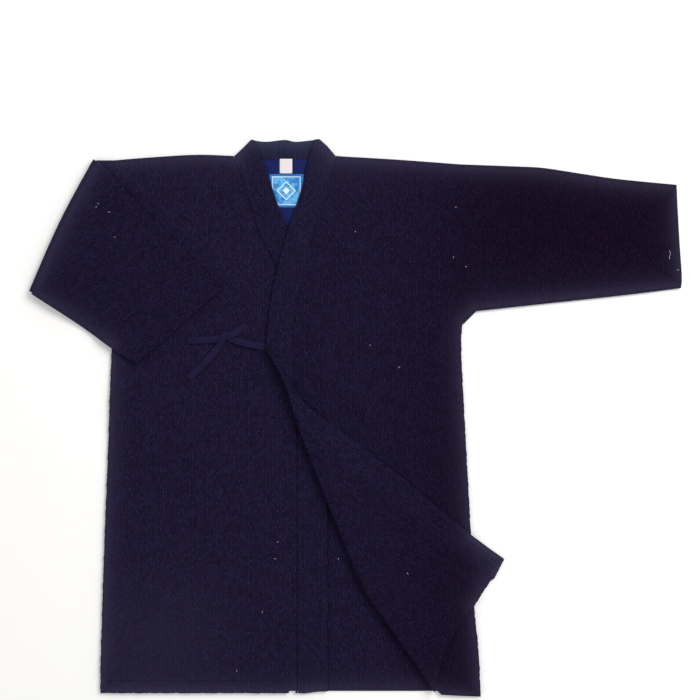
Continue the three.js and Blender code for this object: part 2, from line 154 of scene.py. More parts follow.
# The heights of the laid cloth are worked out on a grid of nodes, and stiff cotton bridges the steps
# between layers over BRIDGE nodes to each side.
GRID_STEP = 2.0
GRID_LEFT = -440.0
GRID_BOTTOM = -30.0
GRID_ROWS = 472
GRID_COLUMNS = 546
BRIDGE = 2
EDGE_STEP = 2.5
EDGE_ROUND = 1.3
EDGE_ROWS = (0.1, 0.4, 1.0)
EDGE_CLEAR = 1.5
ROW_CLEAR = 0.9
CURVE_STEPS = 24
WAVER_SIZES = (9, 14, 23, 41)
WAVER_FADE = 12.0
JOINED = 0.05
SAME_PLACE = 1e-6
NO_WALL = 1e-4
TURNED = 0.1
ROLL_BENDS = 7
SHARP_FROM = math.radians(60)

columns_x = GRID_LEFT + GRID_STEP * np.arange(GRID_COLUMNS)
rows_y = GRID_BOTTOM + GRID_STEP * np.arange(GRID_ROWS)
grid_x, grid_y = np.meshgrid(columns_x, rows_y)
grid_points = np.column_stack([grid_x.ravel(), grid_y.ravel()])


def run_of(line):
    """How far along a line each of its points is."""
    return np.concatenate([[0.0], np.cumsum(np.linalg.norm(np.diff(line, axis=0), axis=1))])


def at_stops(line, run, stops):
    """The places on a line that are the given ways along it."""
    return np.column_stack([np.interp(stops, run, column) for column in line.T])


def unit(ways):
    """Directions at length one."""
    return ways / np.linalg.norm(ways, axis=1)[:, None]


def left_of(ways):
    """Directions in the plane, each turned a quarter to the left."""
    return np.column_stack([-ways[:, 1], ways[:, 0]])


def evenly(line, step=EDGE_STEP, fine_ends=False):
    """A line in even steps, with the few close ones at its ends that a rounded edge needs."""
    line = np.asarray(line, float)
    run = run_of(line)
    stops = np.linspace(0, run[-1], max(2, math.ceil(run[-1] / step) + 1))
    if fine_ends:
        near = EDGE_ROUND * np.array(EDGE_ROWS)
        clear = EDGE_CLEAR * EDGE_ROUND
        inner = stops[(stops > clear) & (stops < run[-1] - clear)]
        stops = np.concatenate([[0.0], near, inner, run[-1] - near[::-1], run[-1:]])
    return at_stops(line, run, stops)


def fold_stops(line):
    """The stops of a fold line."""
    return evenly(line, fine_ends=True)


def through(stops, count):
    """Places on a smooth curve through the stops, count of them from one stop to the next."""
    p = np.vstack([stops[:1], stops, stops[-1:]])
    share = np.linspace(0, 1, count, endpoint=False)[:, None]
    spans = []
    for a, b, c, d in zip(p, p[1:], p[2:], p[3:]):
        bend = (2 * a - 5 * b + 4 * c - d) / 2 + share * (3 * b - a - 3 * c + d) / 2
        spans.append(b + share * ((c - a) / 2 + share * bend))
    return np.vstack([*spans, p[-1:]])


def smooth(*stops, step=EDGE_STEP):
    """A smooth line through the stops."""
    return evenly(through(np.array(stops, float), CURVE_STEPS), step)


def straight(*stops):
    """Straight stretches from stop to stop."""
    stops = np.array(stops, float)
    spans = [evenly(stops[k:k + 2])[:-1] for k in range(len(stops) - 1)]
    return np.vstack([*spans, stops[-1:]])


def beside(line, amount):
    """A line moved sideways, to the left of the way it runs."""
    return line + left_of(unit(np.gradient(line, axis=0))) * np.reshape(amount, (-1, 1))


def uneven(line, seed, amount=0.55):
    """The line with the small waver of a sewn edge, which is nothing at its ends."""
    chance = random.Random(seed)
    run = run_of(line)
    waver = np.zeros(len(line))
    for size in WAVER_SIZES:
        size *= chance.uniform(0.9, 1.1)
        waver += np.sin(run * math.tau / size + chance.uniform(0, math.tau)) / 3
    fade = np.clip(np.minimum(run, run[-1] - run) / WAVER_FADE, 0, 1)
    return beside(line, amount * waver * fade)


def gap(p, q):
    """How far two places are apart."""
    return np.hypot(*(p - q))


def outline(**sides):
    """A closed outline from its named sides in turn, each turned round where it has to be. A straight
    stretch joins two sides whose ends don't meet."""
    names = list(sides)
    lines = [np.asarray(line, float) for line in sides.values()]
    first, second = lines[0], lines[1]
    from_start = min(gap(first[0], second[0]), gap(first[0], second[-1]))
    from_end = min(gap(first[-1], second[0]), gap(first[-1], second[-1]))
    if from_start < from_end:
        lines[0] = first[::-1]
    for k in range(1, len(lines)):
        if gap(lines[k - 1][-1], lines[k][-1]) < gap(lines[k - 1][-1], lines[k][0]):
            lines[k] = lines[k][::-1]
    made = {}
    for k, name in enumerate(names):
        made[name] = lines[k]
        start, end = lines[k][-1], lines[(k + 1) % len(lines)][0]
        if gap(start, end) > JOINED:
            made[name + "_on"] = straight(start, end)
        else:
            made[name] = np.vstack([lines[k][:-1], end[None]])
    return made


def loop_of(cut):
    """The points of a closed outline, each once."""
    return np.vstack([line[:-1] for line in cut.values()])


def area_of(cut):
    """The area of a closed outline, in square metres, below zero if it runs clockwise."""
    x, y = loop_of(cut).T
    return float(np.sum(x * np.roll(y, -1) - np.roll(x, -1) * y)) / 2e6


def mask_of(cut):
    """Which of the grid's nodes lie inside an outline."""
    x0, y0 = loop_of(cut).T
    x1, y1 = np.roll(x0, -1), np.roll(y0, -1)
    inside = np.zeros(grid_x.shape, bool)
    for row, y in enumerate(rows_y):
        spans = (y0 > y) != (y1 > y)
        reach = (y - y0[spans]) / (y1[spans] - y0[spans])
        cuts = np.sort(x0[spans] + reach * (x1[spans] - x0[spans]))
        inside[row] = np.searchsorted(cuts, columns_x) % 2 == 1
    return inside


def is_inside(points, loop):
    """Which points lie inside a closed outline."""
    inside = np.zeros(len(points), bool)
    for (x0, y0), (x1, y1) in zip(loop, np.roll(loop, -1, axis=0)):
        if y0 != y1:
            spans = (y0 > points[:, 1]) != (y1 > points[:, 1])
            inside ^= spans & (points[:, 0] < x0 + (points[:, 1] - y0) * (x1 - x0) / (y1 - y0))
    return inside


def distance(points, line):
    """How far each point lies from a line."""
    best = np.full(len(points), np.inf)
    for start, run in zip(line[:-1], np.diff(line, axis=0)):
        share = np.clip(((points - start) @ run) / (run @ run + 1e-12), 0, 1)
        best = np.minimum(best, np.hypot(*(points - start - share[:, None] * run).T))
    return best


def nodes_from(line):
    """How far each of the grid's nodes lies from a line."""
    return distance(grid_points, line).reshape(grid_x.shape)


def spread(heights, reach, take):
    """Each node takes the highest, lowest or mean value of the nodes round it."""
    for axis in (0, 1):
        margin = [(reach, reach) if axis == k else (0, 0) for k in (0, 1)]
        padded = np.pad(heights, margin, mode="edge")
        heights = take(np.lib.stride_tricks.sliding_window_view(padded, 2 * reach + 1, axis), axis=-1)
    return heights


def lay(cut, thick, over=(), rise=0.0, press=0.0):
    """The heights of one layer of cloth on the grid. It lies on the layers under it, which carry it over
    their edges in a soft step. Rise lifts it off them, and press thins it where stitches pull it in."""
    carried = np.zeros(grid_x.shape)
    for below in over:
        resting = np.maximum(carried, below["top"] + LAY_GAP)
        carried = np.where(below["mask"], resting, carried)
    draped = spread(carried, 2 * BRIDGE + 1, np.max)
    for _ in range(2):
        draped = spread(draped, BRIDGE, np.mean)
    low = draped + rise
    return {"mask": mask_of(cut), "low": low, "top": low + thick - press}


def height_at(heights, points):
    """The height of the grid's surface at any points."""
    across = (points[:, 0] - GRID_LEFT) / GRID_STEP
    up = (points[:, 1] - GRID_BOTTOM) / GRID_STEP
    column = np.clip(across.astype(int), 0, GRID_COLUMNS - 2)
    row = np.clip(up.astype(int), 0, GRID_ROWS - 2)
    u, v = across - column, up - row
    lower = heights[row, column] * (1 - u) + heights[row, column + 1] * u
    upper = heights[row + 1, column] * (1 - u) + heights[row + 1, column + 1] * u
    return lower * (1 - v) + upper * v


def new_piece():
    """The points, faces and flat-cut places of a piece of cloth that is being put together."""
    return {"points": np.empty((0, 3)), "flat": np.empty((0, 2)), "faces": []}


def add_points(piece, points, flat):
    """Adds points to a piece and returns their numbers."""
    start = len(piece["points"])
    piece["points"] = np.vstack([piece["points"], points])
    piece["flat"] = np.vstack([piece["flat"], flat])
    return np.arange(start, start + len(points))


def add_sheet(piece, cut, layer, folds=(), seams=(), spacing=2, flat=np.copy, edge_round=EDGE_ROUND):
    """Adds one sheet of cloth to a piece. Its two faces meet in a rounded edge. They stay apart along its
    seams, where it has a square edge, and its folds, where a roll joins them to the next sheet."""
    loop = loop_of(cut)
    count = len(loop)
    seams = [name for name in seams if name in cut]
    apart = [*folds, *seams]
    edges = [line for name, line in cut.items() if name not in apart]
    pinches = edges + [cut[name][[k, k]] for name in apart for k in (0, -1)]
    turn = 1 if area_of(cut) > 0 else -1
    inward = turn * left_of(unit(np.roll(loop, -1, axis=0) - np.roll(loop, 1, axis=0)))

    def to_edge(points):
        """How far points lie from the edges where the two faces meet."""
        return np.min([distance(points, line) for line in pinches], axis=0)

    on_edge = to_edge(loop) < SAME_PLACE
    closed = np.vstack([loop, loop[:1]])
    rows = []
    for share in EDGE_ROWS:
        row = (loop + inward * share * edge_round)[on_edge]
        clear = distance(row, closed) > ROW_CLEAR * share * edge_round
        rows.append(row[clear & is_inside(row, loop)])
    inner = spread(layer["mask"], 1, np.min)
    inner[np.arange(GRID_ROWS) % spacing > 0] = False
    inner[:, np.arange(GRID_COLUMNS) % spacing > 0] = False
    rim = np.vstack([loop, *rows])
    points = np.vstack([rim, grid_points[inner.ravel()]])
    share = np.ones(len(points))
    share[:len(rim)] = np.clip(to_edge(rim) / edge_round, 0, 1)
    ring = [(k, (k + 1) % count) for k in range(count)]
    _, _, faces, sources, _, _ = delaunay_2d_cdt([Vector(p) for p in points], ring, [], 1, SAME_PLACE)
    order = [found[0] for found in sources]
    points, share = points[order], share[order]
    low, top = height_at(layer["low"], points), height_at(layer["top"], points)
    half = (top - low) / 2 * np.sqrt(1 - (1 - share) ** 2)
    half[half < NO_WALL] = 0
    middle = (top + low) / 2
    upper = add_points(piece, np.column_stack([points, middle + half]), flat(points))
    lower = add_points(piece, np.column_stack([points, middle - half]), flat(points))
    lower = np.where(half > 0, lower, upper)
    piece["faces"] += [[upper[k] for k in face] for face in faces]
    piece["faces"] += [[lower[k] for k in reversed(face)] for face in faces]
    number = {source: k for k, found in enumerate(sources) for source in found}
    made, start = {}, 0
    for name, line in cut.items():
        kept = [number[(start + k) % count] for k in range(len(line))]
        if name in seams:
            for here, there in zip(kept, kept[1:]):
                face = [upper[here], upper[there], lower[there], lower[here]]
                piece["faces"].append(list(dict.fromkeys(face)))
        if name in folds:
            out = -turn * left_of(unit(np.gradient(line, axis=0)))
            made[name] = {"top": upper[kept], "low": lower[kept], "out": out}
        start += len(line) - 1
    return made


def add_roll(piece, lower, upper, reach, bends=ROLL_BENDS):
    """Adds the roll that joins the folds of two sheets, from the lower one round to the upper one."""
    points = piece["points"]
    if np.hypot(*(points[lower["top"][0]] - points[upper["top"][0]])[:2]) > TURNED:
        upper = {key: values[::-1] for key, values in upper.items()}
    outer, inner = [], []
    for k in range(len(lower["top"])):
        ends = [lower["low"][k], lower["top"][k], upper["low"][k], upper["top"][k]]
        z = points[ends, 2]
        half = (z[1] - z[0]) / 2
        centre, rise = (z[0] + z[3]) / 2, (z[3] - z[0]) / 2
        angles = np.pi * (np.arange(1, bends) / bends - 0.5)
        shares = (np.arange(1, bends) / bends)[:, None]
        flat = piece["flat"][ends[0]] * (1 - shares) + piece["flat"][ends[3]] * shares
        walls = []
        for inset in (0.0, 2 * half):
            away = (reach - inset) * np.cos(angles)[:, None] * lower["out"][k]
            z_arc = centre + (rise - inset) * np.sin(angles)
            walls.append(np.column_stack([points[ends[0], :2] + away, z_arc]))
        around = add_points(piece, walls[0], flat)
        within = add_points(piece, walls[1], flat) if half > 0 else around
        outer.append([ends[0], *around, ends[3]])
        inner.append([ends[1], *within, ends[2]])
    for wall, step in ((outer, 1), (inner, -1)):
        for here, there in zip(wall, wall[1:]):
            for m in range(bends):
                face = [here[m], there[m], there[m + 1], here[m + 1]][::step]
                piece["faces"].append(list(dict.fromkeys(face)))


def new_object(name, points, faces, material):
    """Makes a Blender object, which moves with the jacket's one body."""
    mesh = bpy.data.meshes.new(name)
    mesh.from_pydata(in_row(points).tolist(), [], faces)
    mesh.shade_smooth()
    mesh.materials.append(material)
    made = bpy.data.objects.new(name, mesh)
    bpy.context.scene.collection.objects.link(made)
    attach(made, "root")
    return made


def finish_piece(name, node, piece, material):
    """Makes the Blender object of a piece of cloth, which stands for a solid of the frame."""
    faces = [face for face in piece["faces"] if len(face) > 2]
    used = np.unique(np.concatenate([np.asarray(face) for face in faces]))
    renumber = np.zeros(len(piece["points"]), int)
    renumber[used] = np.arange(len(used))
    faces = [[int(renumber[k]) for k in face] for face in faces]
    made = new_object(name, piece["points"][used], faces, material)
    mesh = made.data
    shaped = bmesh.new()
    shaped.from_mesh(mesh)
    bmesh.ops.recalc_face_normals(shaped, faces=shaped.faces)
    shaped.to_mesh(mesh)
    shaped.free()
    mesh.set_sharp_from_angle(angle=SHARP_FROM)
    corners = np.zeros(len(mesh.loops), int)
    mesh.loops.foreach_get("vertex_index", corners)
    flat = piece["flat"][used][corners] / 1000
    mesh.uv_layers.new(name="cut").data.foreach_set("uv", flat.ravel())
    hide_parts(node)
    return made


def one_sheet(name, node, cut, layer, material, seams=(), spacing=2, edge_round=EDGE_ROUND):
    """A piece of cloth that is one flat sheet."""
    piece = new_piece()
    add_sheet(piece, cut, layer, (), seams, spacing, edge_round=edge_round)
    return finish_piece(name, node, piece, material)


GRAIN_LONG = 5.4
GRAIN_WIDE = 3.9
GRAIN_GAP = 1.1
GRAIN_WAVER = (5.0, 5.0, 0)
PLUM_TINT = (0.7, 0.42, 0.5, 1)


def sashiko_cotton(name, crown, ground, plum, pale):
    """Heavy indigo cotton woven with raised rice grains: matt, dark between the grains, plum where the dye
    is strong and paler where it is rubbed. The grains are a little larger than real ones, to show."""
    material, tree = new_material(name)
    place = add_node(tree, "UVMap", uv_map="cut").outputs["UV"]
    in_mm = {"Vector": place, "Rotation": (0, 0, math.pi / 2), "Scale": (1000, 1000, 1000)}
    turned = add_node(tree, "Mapping", in_mm).outputs["Vector"]
    waver = add_node(tree, "TexNoise", {"Vector": turned, "Scale": 0.14, "Detail": 3.0})
    shaken = {0: waver.outputs["Color"], 1: GRAIN_WAVER, 2: turned}
    shaken = add_node(tree, "VectorMath", shaken, operation="MULTIPLY_ADD").outputs["Vector"]
    rows = {
        "Vector": shaken,
        "Color1": (1, 1, 1, 1),
        "Color2": (0.25, 0.25, 0.25, 1),
        "Mortar": (0, 0, 0, 1),
        "Scale": 1.0,
        "Mortar Size": GRAIN_GAP,
        "Mortar Smooth": 1.0,
        "Bias": 0.0,
        "Brick Width": GRAIN_LONG,
        "Row Height": GRAIN_WIDE,
    }
    grains = add_node(tree, "TexBrick", rows)
    fibre = add_node(tree, "TexNoise", {"Vector": turned, "Scale": 0.9, "Detail": 3.0, "Roughness": 0.7})
    blotch = add_node(tree, "TexNoise", {"Vector": turned, "Scale": 0.05, "Detail": 6.0, "Roughness": 0.8})
    # The pale attribute is edge wear, held back at the very rim as painted shade of the rounded edge.
    wear_and_rim_shade = add_node(tree, "Attribute", attribute_name="pale")
    deeper = add_node(tree, "Attribute", attribute_name="plum")
    relief = {0: fibre.outputs["Fac"], 1: 0.8, 2: grains.outputs["Color"]}
    relief = add_node(tree, "Math", relief, operation="MULTIPLY_ADD").outputs["Value"]
    lit = add_node(tree, "MapRange", {"Value": relief, "From Min": 0.3, "From Max": 1.3})
    tinted = {"Value": blotch.outputs["Fac"], "From Min": 0.44, "From Max": 0.7, "To Max": 0.6}
    tinted = add_node(tree, "MapRange", tinted)
    colour = linear(ground)
    for factor, blend, other in (
        (lit.outputs["Result"], "MIX", linear(crown)),
        (tinted.outputs["Result"], "MIX", linear(plum)),
        (deeper.outputs["Fac"], "MULTIPLY", PLUM_TINT),
        (wear_and_rim_shade.outputs["Fac"], "MIX", linear(pale)),
    ):
        mixed = {"Factor": factor, "A": colour, "B": other}
        colour = add_node(tree, "Mix", mixed, data_type="RGBA", blend_type=blend).outputs["Result"]
    bump = add_node(tree, "Bump", {"Height": relief, "Strength": 0.8, "Distance": 0.0009})
    cloth = {
        "Base Color": colour,
        "Roughness": 0.95,
        "Specular IOR Level": 0.02,
        "Normal": bump.outputs["Normal"],
    }
    shader = add_node(tree, "BsdfPrincipled", cloth)
    add_node(tree, "OutputMaterial", {"Surface": shader.outputs["BSDF"]})
    return material


cotton = sashiko_cotton("sashiko_cotton", 0x26213F, 0x0D0A1A, 0x201029, 0x3E3951)

shoulder_right = smooth((-279, 851), (-224, 855.5), (-147, 860), (-87, 858))
shoulder_left = smooth((76, 858), (173, 852.3), (279, 844.5))
side_right = smooth((-279, 589), (-282.4, 549), (-287.7, 403), (-295, 211), (-300, 51), (-300.3, -1))
side_right = uneven(side_right, 1)
side_left = smooth((279, 589), (277.4, 547), (282, 451), (292, 267), (297, 150), (305, 66), (308.5, -8))
side_left = uneven(side_left, 2)

back_cut = outline(
    shoulder_right=beside(shoulder_right, -BACK_SHORT),
    neck=straight((-84, NECK_SEAM - SEAM_GAP), (74, NECK_SEAM - SEAM_GAP)),
    shoulder_left=beside(shoulder_left, -BACK_SHORT),
    side_left=side_left[side_left[:, 1] > BACK_HEM],
    hem=straight((307.5, BACK_HEM), (-300, BACK_HEM)),
    side_right=side_right[side_right[:, 1] > BACK_HEM],
)
back_layer = lay(back_cut, CLOTH)
back_seams = ("shoulder_left_on", "side_right_on", "neck")
back = one_sheet("back_panel", "back", back_cut, back_layer, cotton, back_seams, 4)

# The collar band is four layers of cotton, quilted in rows along its length. Its middle stretch stands up
# behind the neck and is laid flat here, so the jacket shows the band's inner face.
BAND = 3.2
BAND_ROUND = 1.6
collar_top_right = straight((-86.4, 857), (-68.8, 873.6), (-59, 884))
collar_top_left = straight((50, 885), (62.6, 873.8), (76, 858))
neck_top = smooth((-59, 884), (-36, 881), (-5, 884), (13, 881), (50, 885))
neck_cotton = sashiko_cotton("neck_band_cotton", 0x262341, 0x0D0B1B, 0x20122B, 0x404C65)
band_cotton = sashiko_cotton("quilted_band_cotton", 0x25213F, 0x0D0B1A, 0x201129, 0x444059)

neck_cut = outline(
    top_right=collar_top_right,
    top=neck_top,
    top_left=collar_top_left,
    seam=straight((74, NECK_SEAM), (-84, NECK_SEAM)),
)
neck_layer = lay(neck_cut, BAND)
neck_band = one_sheet(
    "neck_band", "collar_back", neck_cut, neck_layer, neck_cotton, ("seam",), 2, BAND_ROUND
)

# The lining of the neck is thin plain-woven cotton in bright blue. It is sewn to the back under the neck
# band, and it shows in the V between the fronts. A wave texture takes WAVE_SPAN radians for a unit.
LINING = 1.0
LINING_ROUND = 0.5
WAVE_SPAN = 20


def plain_cotton(name, thread, between, pitch, roughness):
    """Thin plain-woven cotton: even and matt, with its threads just seen, pitch millimetres apart."""
    material, tree = new_material(name)
    place = add_node(tree, "UVMap", uv_map="cut").outputs["UV"]
    waves = math.tau * 1000 / pitch / WAVE_SPAN
    across = add_node(tree, "TexWave", {"Vector": place, "Scale": waves}, bands_direction="X")
    along = add_node(tree, "TexWave", {"Vector": place, "Scale": waves}, bands_direction="Y")
    weave = {0: across.outputs["Fac"], 1: along.outputs["Fac"]}
    weave = add_node(tree, "Math", weave, operation="MULTIPLY").outputs["Value"]
    cloud = add_node(tree, "TexNoise", {"Vector": place, "Scale": 60.0, "Detail": 3.0})
    shade = {0: cloud.outputs["Fac"], 1: 0.6, 2: weave}
    shade = add_node(tree, "Math", shade, operation="MULTIPLY_ADD").outputs["Value"]
    colour = {"Factor": shade, "A": linear(between), "B": linear(thread)}
    colour = add_node(tree, "Mix", colour, data_type="RGBA").outputs["Result"]
    bump = add_node(tree, "Bump", {"Height": weave, "Strength": 0.5, "Distance": 0.0003})
    cloth = {
        "Base Color": colour,
        "Roughness": roughness,
        "Specular IOR Level": 0.08,
        "Normal": bump.outputs["Normal"],
    }
    shader = add_node(tree, "BsdfPrincipled", cloth)
    add_node(tree, "OutputMaterial", {"Surface": shader.outputs["BSDF"]})
    return material


blue_cotton = plain_cotton("bright_blue_cotton", 0x1A2562, 0x11183F, 1.6, 0.85)
lining_cut = outline(
    neck=straight((-48, NECK_SEAM - SEAM_GAP), (46, NECK_SEAM - SEAM_GAP)),
    left=straight((40, 800), (14, 732)),
    right=straight((-14, 732), (-38, 800)),
)
lining_layer = lay(lining_cut, LINING, over=[back_layer])
lining = one_sheet(
    "neck_lining", "yoke_lining", lining_cut, lining_layer, blue_cotton, (), 2, LINING_ROUND
)

# The label is a jacquard-woven patch in light blue with a white frame, sewn on the lining. Its pattern is
# a plain one: a white diamond in an open one.
LABEL = 0.8
LABEL_LEFT, LABEL_RIGHT, LABEL_BOTTOM, LABEL_TOP = -30.4, 24.8, 775.5, 828.8
LABEL_ROUND = 0.4
LABEL_FRAME, LABEL_FRAME_HALF, LABEL_BORDER = 0.0222, 0.0006, 0.0236
OPEN_DIAMOND, OPEN_DIAMOND_HALF, SOLID_DIAMOND = 0.0142, 0.0011, 0.0058
LABEL_MIDDLE = ((LABEL_LEFT + LABEL_RIGHT) / 2, (LABEL_BOTTOM + LABEL_TOP) / 2)


def rectangle(left, right, bottom, top):
    """The outline of a rectangle."""
    return outline(
        bottom=straight((left, bottom), (right, bottom)),
        right=straight((right, bottom), (right, top)),
        top=straight((right, top), (left, top)),
        left=straight((left, top), (left, bottom)),
    )


def jacquard_label():
    """Polyester yarn woven in blue and white: smooth, with a slight gloss, a thin white frame near the
    border, one open white diamond round a small solid one, and soft darker bands."""
    material, tree = new_material("jacquard_label")
    place = add_node(tree, "UVMap", uv_map="cut").outputs["UV"]
    middle = {0: place, 1: (LABEL_MIDDLE[0] / 1000, LABEL_MIDDLE[1] / 1000, 0)}
    middle = add_node(tree, "VectorMath", middle, operation="SUBTRACT").outputs["Vector"]
    sides = add_node(tree, "VectorMath", {0: middle}, operation="ABSOLUTE").outputs["Vector"]
    split = add_node(tree, "SeparateXYZ", {"Vector": sides})
    x, y = split.outputs["X"], split.outputs["Y"]
    out = add_node(tree, "Math", {0: x, 1: y}, operation="MAXIMUM").outputs["Value"]
    round_middle = add_node(tree, "Math", {0: x, 1: y}, operation="ADD").outputs["Value"]
    frame_line = add_node(tree, "Math", {0: out, 1: LABEL_FRAME, 2: LABEL_FRAME_HALF}, operation="COMPARE")
    border = add_node(tree, "Math", {0: out, 1: LABEL_BORDER}, operation="GREATER_THAN")
    open_one = {0: round_middle, 1: OPEN_DIAMOND, 2: OPEN_DIAMOND_HALF}
    open_one = add_node(tree, "Math", open_one, operation="COMPARE")
    solid_one = add_node(tree, "Math", {0: round_middle, 1: SOLID_DIAMOND}, operation="LESS_THAN")
    white = frame_line.outputs["Value"]
    for part in (open_one, solid_one):
        white = {0: white, 1: part.outputs["Value"]}
        white = add_node(tree, "Math", white, operation="MAXIMUM").outputs["Value"]
    soft = {"Vector": place, "Scale": 9.0, "Distortion": 5.0, "Detail": 1.0, "Detail Scale": 12.0}
    bands = add_node(tree, "TexWave", soft, bands_direction="DIAGONAL")
    colour = linear(0x2273B6)
    for factor, other in (
        (bands.outputs["Fac"], 0x63AEE2),
        (border.outputs["Value"], 0x2469B2),
        (white, 0xD2E0EA),
    ):
        mixed = {"Factor": factor, "A": colour, "B": linear(other)}
        colour = add_node(tree, "Mix", mixed, data_type="RGBA").outputs["Result"]
    yarn = add_node(tree, "TexWave", {"Vector": place, "Scale": 450.0}, bands_direction="Y")
    bump = add_node(tree, "Bump", {"Height": yarn.outputs["Fac"], "Strength": 0.3, "Distance": 0.0002})
    woven = {
        "Base Color": colour,
        "Roughness": 0.6,
        "Specular IOR Level": 0.2,
        "Normal": bump.outputs["Normal"],
    }
    shader = add_node(tree, "BsdfPrincipled", woven)
    add_node(tree, "OutputMaterial", {"Surface": shader.outputs["BSDF"]})
    return material


label_cut = rectangle(LABEL_LEFT, LABEL_RIGHT, LABEL_BOTTOM, LABEL_TOP)
label_layer = lay(label_cut, LABEL, over=[back_layer, lining_layer])
woven_blue = jacquard_label()
label = one_sheet(
    "label_patch", "woven_label", label_cut, label_layer, woven_blue, (), 2, LABEL_ROUND
)

# The size tag is a folded end of white satin ribbon, caught in the neck seam, and it is left bare.
TAG_LEFT, TAG_RIGHT, TAG_BOTTOM, TAG_TOP = -13.3, 6.7, 829.9, 853.3
tag_satin = plain_cotton("white_satin_ribbon", 0xE8E2E3, 0xD4CED1, 0.8, 0.45)
tag_cut = rectangle(TAG_LEFT, TAG_RIGHT, TAG_BOTTOM, TAG_TOP)
tag_layer = lay(tag_cut, LABEL, over=[back_layer, lining_layer, neck_layer])
tag = one_sheet(
    "size_tag_ribbon", "size_tag", tag_cut, tag_layer, tag_satin, (), 2, LABEL_ROUND
)

# The right front is one panel of the sashiko cotton, the lower of the two. It rolls over the shoulder to a
# short return that meets the back, and its hem is turned up and sewn.
HEM_DEEP = 20.0
FRONT_HEM = -2.0
WAIST = 547.0
BAND_SEAM_X = 15.4
SEAM_GROOVE = 1.1
DITCH = 0.45
NOTCH_RIGHT, NOTCH_LEFT, NOTCH_TOP = 12.0, 1.6, 3.0
HEM_SOFT = 1.2
RUMPLE_SIZES = (38, 130)
RIGHT_FOLDS = (
    (-270, 470, -120, 380, 1.6, 60),
    (-240, 250, -150, 60, 1.8, 70),
    (-150, 720, -60, 640, 1.4, 50),
    (-60, 330, -20, 150, 1.2, 40),
    (-200, 560, -240, 420, 1.1, 35),
)


def soft_folds(rows):
    """What broad soft folds add to the heights. A row is a fold's two ends, its height and half width."""
    heights = np.zeros(len(grid_points))
    for x0, y0, x1, y1, height, width in rows:
        share = np.minimum(distance(grid_points, np.array([(x0, y0), (x1, y1)], float)) / width, 1)
        heights += height * (1 + np.cos(np.pi * share)) / 2
    return heights.reshape(grid_x.shape)


def rumples(seed, height=0.22, count=14):
    """The faint uneven lie of heavy cotton, which is never quite flat."""
    chance = random.Random(seed)
    heights = np.zeros(grid_x.shape)
    for _ in range(count):
        turn = chance.uniform(0, math.pi)
        size = chance.uniform(*RUMPLE_SIZES)
        start = chance.uniform(0, math.tau)
        wave = (grid_x * math.cos(turn) + grid_y * math.sin(turn)) * math.tau / size + start
        heights += height * (1 + np.sin(wave)) / 2
    return heights


def hem_step(line, deep=HEM_DEEP, height=0.9):
    """What the cloth turned up inside a hem adds to its height."""
    return height / (1 + np.exp(np.clip((nodes_from(line[::6]) - deep) / HEM_SOFT, -20, 20)))


def dipped(line, deep=0.5, wide=2.2):
    """How far a row of stitches pulls the cloth in."""
    return deep * np.exp(-((nodes_from(line[::3]) / wide) ** 2))


def shoulder_piece(shoulder):
    """The start of a front: its short return behind the shoulder, and the shoulder's fold line."""
    piece = new_piece()
    fold = fold_stops(beside(shoulder, -THIN_FOLD))
    return_cut = outline(fold=fold, inner=beside(fold, -SHOULDER_RETURN))
    sheet = add_sheet(piece, return_cut, lay(return_cut, CLOTH), folds=["fold"])
    return piece, fold, sheet["fold"]


seam_right = smooth(
    (-86.4, 857), (-63, 791), (-46.4, 737.6), (-19.2, 683), (-1.6, 635), (10.4, 592), (BAND_SEAM_X, WAIST)
)
seam_right = np.vstack([seam_right, straight((BAND_SEAM_X, WAIST), (BAND_SEAM_X, FRONT_HEM))[1:]])
right_piece, right_fold, right_return = shoulder_piece(shoulder_right)
right_hem = uneven(straight((NOTCH_LEFT, FRONT_HEM), (-300.3, FRONT_HEM)), 3)
notch = straight((NOTCH_RIGHT, FRONT_HEM), (NOTCH_RIGHT, NOTCH_TOP), (NOTCH_LEFT, NOTCH_TOP), right_hem[0])
right_cut = outline(
    shoulder=right_fold,
    seam=beside(seam_right, -DITCH)[2:],
    notch=notch,
    hem=right_hem,
    side=side_right[side_right[:, 1] > FRONT_HEM + 1],
)
under_fronts = [back_layer, neck_layer, lining_layer, label_layer, tag_layer]
right_layer = lay(
    right_cut,
    CLOTH,
    over=under_fronts,
    rise=soft_folds(RIGHT_FOLDS) + rumples(3) + hem_step(right_hem),
    press=dipped(seam_right, SEAM_GROOVE),
)
right_sheet = add_sheet(right_piece, right_cut, right_layer, ("shoulder",), ("seam", "side_on"))
add_roll(right_piece, right_return, right_sheet["shoulder"], THIN_FOLD)
front_right = finish_piece("front_right_panel", "front_right", right_piece, cotton)

# The right stretch of the collar band runs from the neck down the right front's edge to the hem, with its
# own four rows of quilting.
BAND_EDGE_X = 63.2
BAND_WIDE = 47.8
QUILT_ROWS = (4.0, 17.0, 30.0, 43.0)
QUILT_MARKS = 4
QUILT_STOPS = 160
edge_right = smooth(
    (-54, 883), (-32.3, 830.7), (-15, 776.8), (24, 688), (44.8, 630), (57.6, 587), (BAND_EDGE_X, WAIST)
)
edge_right = np.vstack([edge_right, straight((BAND_EDGE_X, WAIST), (BAND_EDGE_X, BACK_HEM))[1:]])


def quilt_lines(edge, seam):
    """The rows of quilting, at shares of the way from a band's edge to its seam. They run straight from one
    mark along the band to the next."""
    marks = np.linspace(0, 1, QUILT_MARKS)
    stops = np.linspace(0, 1, QUILT_STOPS)
    sides = []
    for line in (edge, seam):
        run = run_of(line)
        sides.append(at_stops(at_stops(line, run, run[-1] * marks), marks, stops))
    return [evenly(sides[0] * (1 - row / BAND_WIDE) + sides[1] * row / BAND_WIDE) for row in QUILT_ROWS]


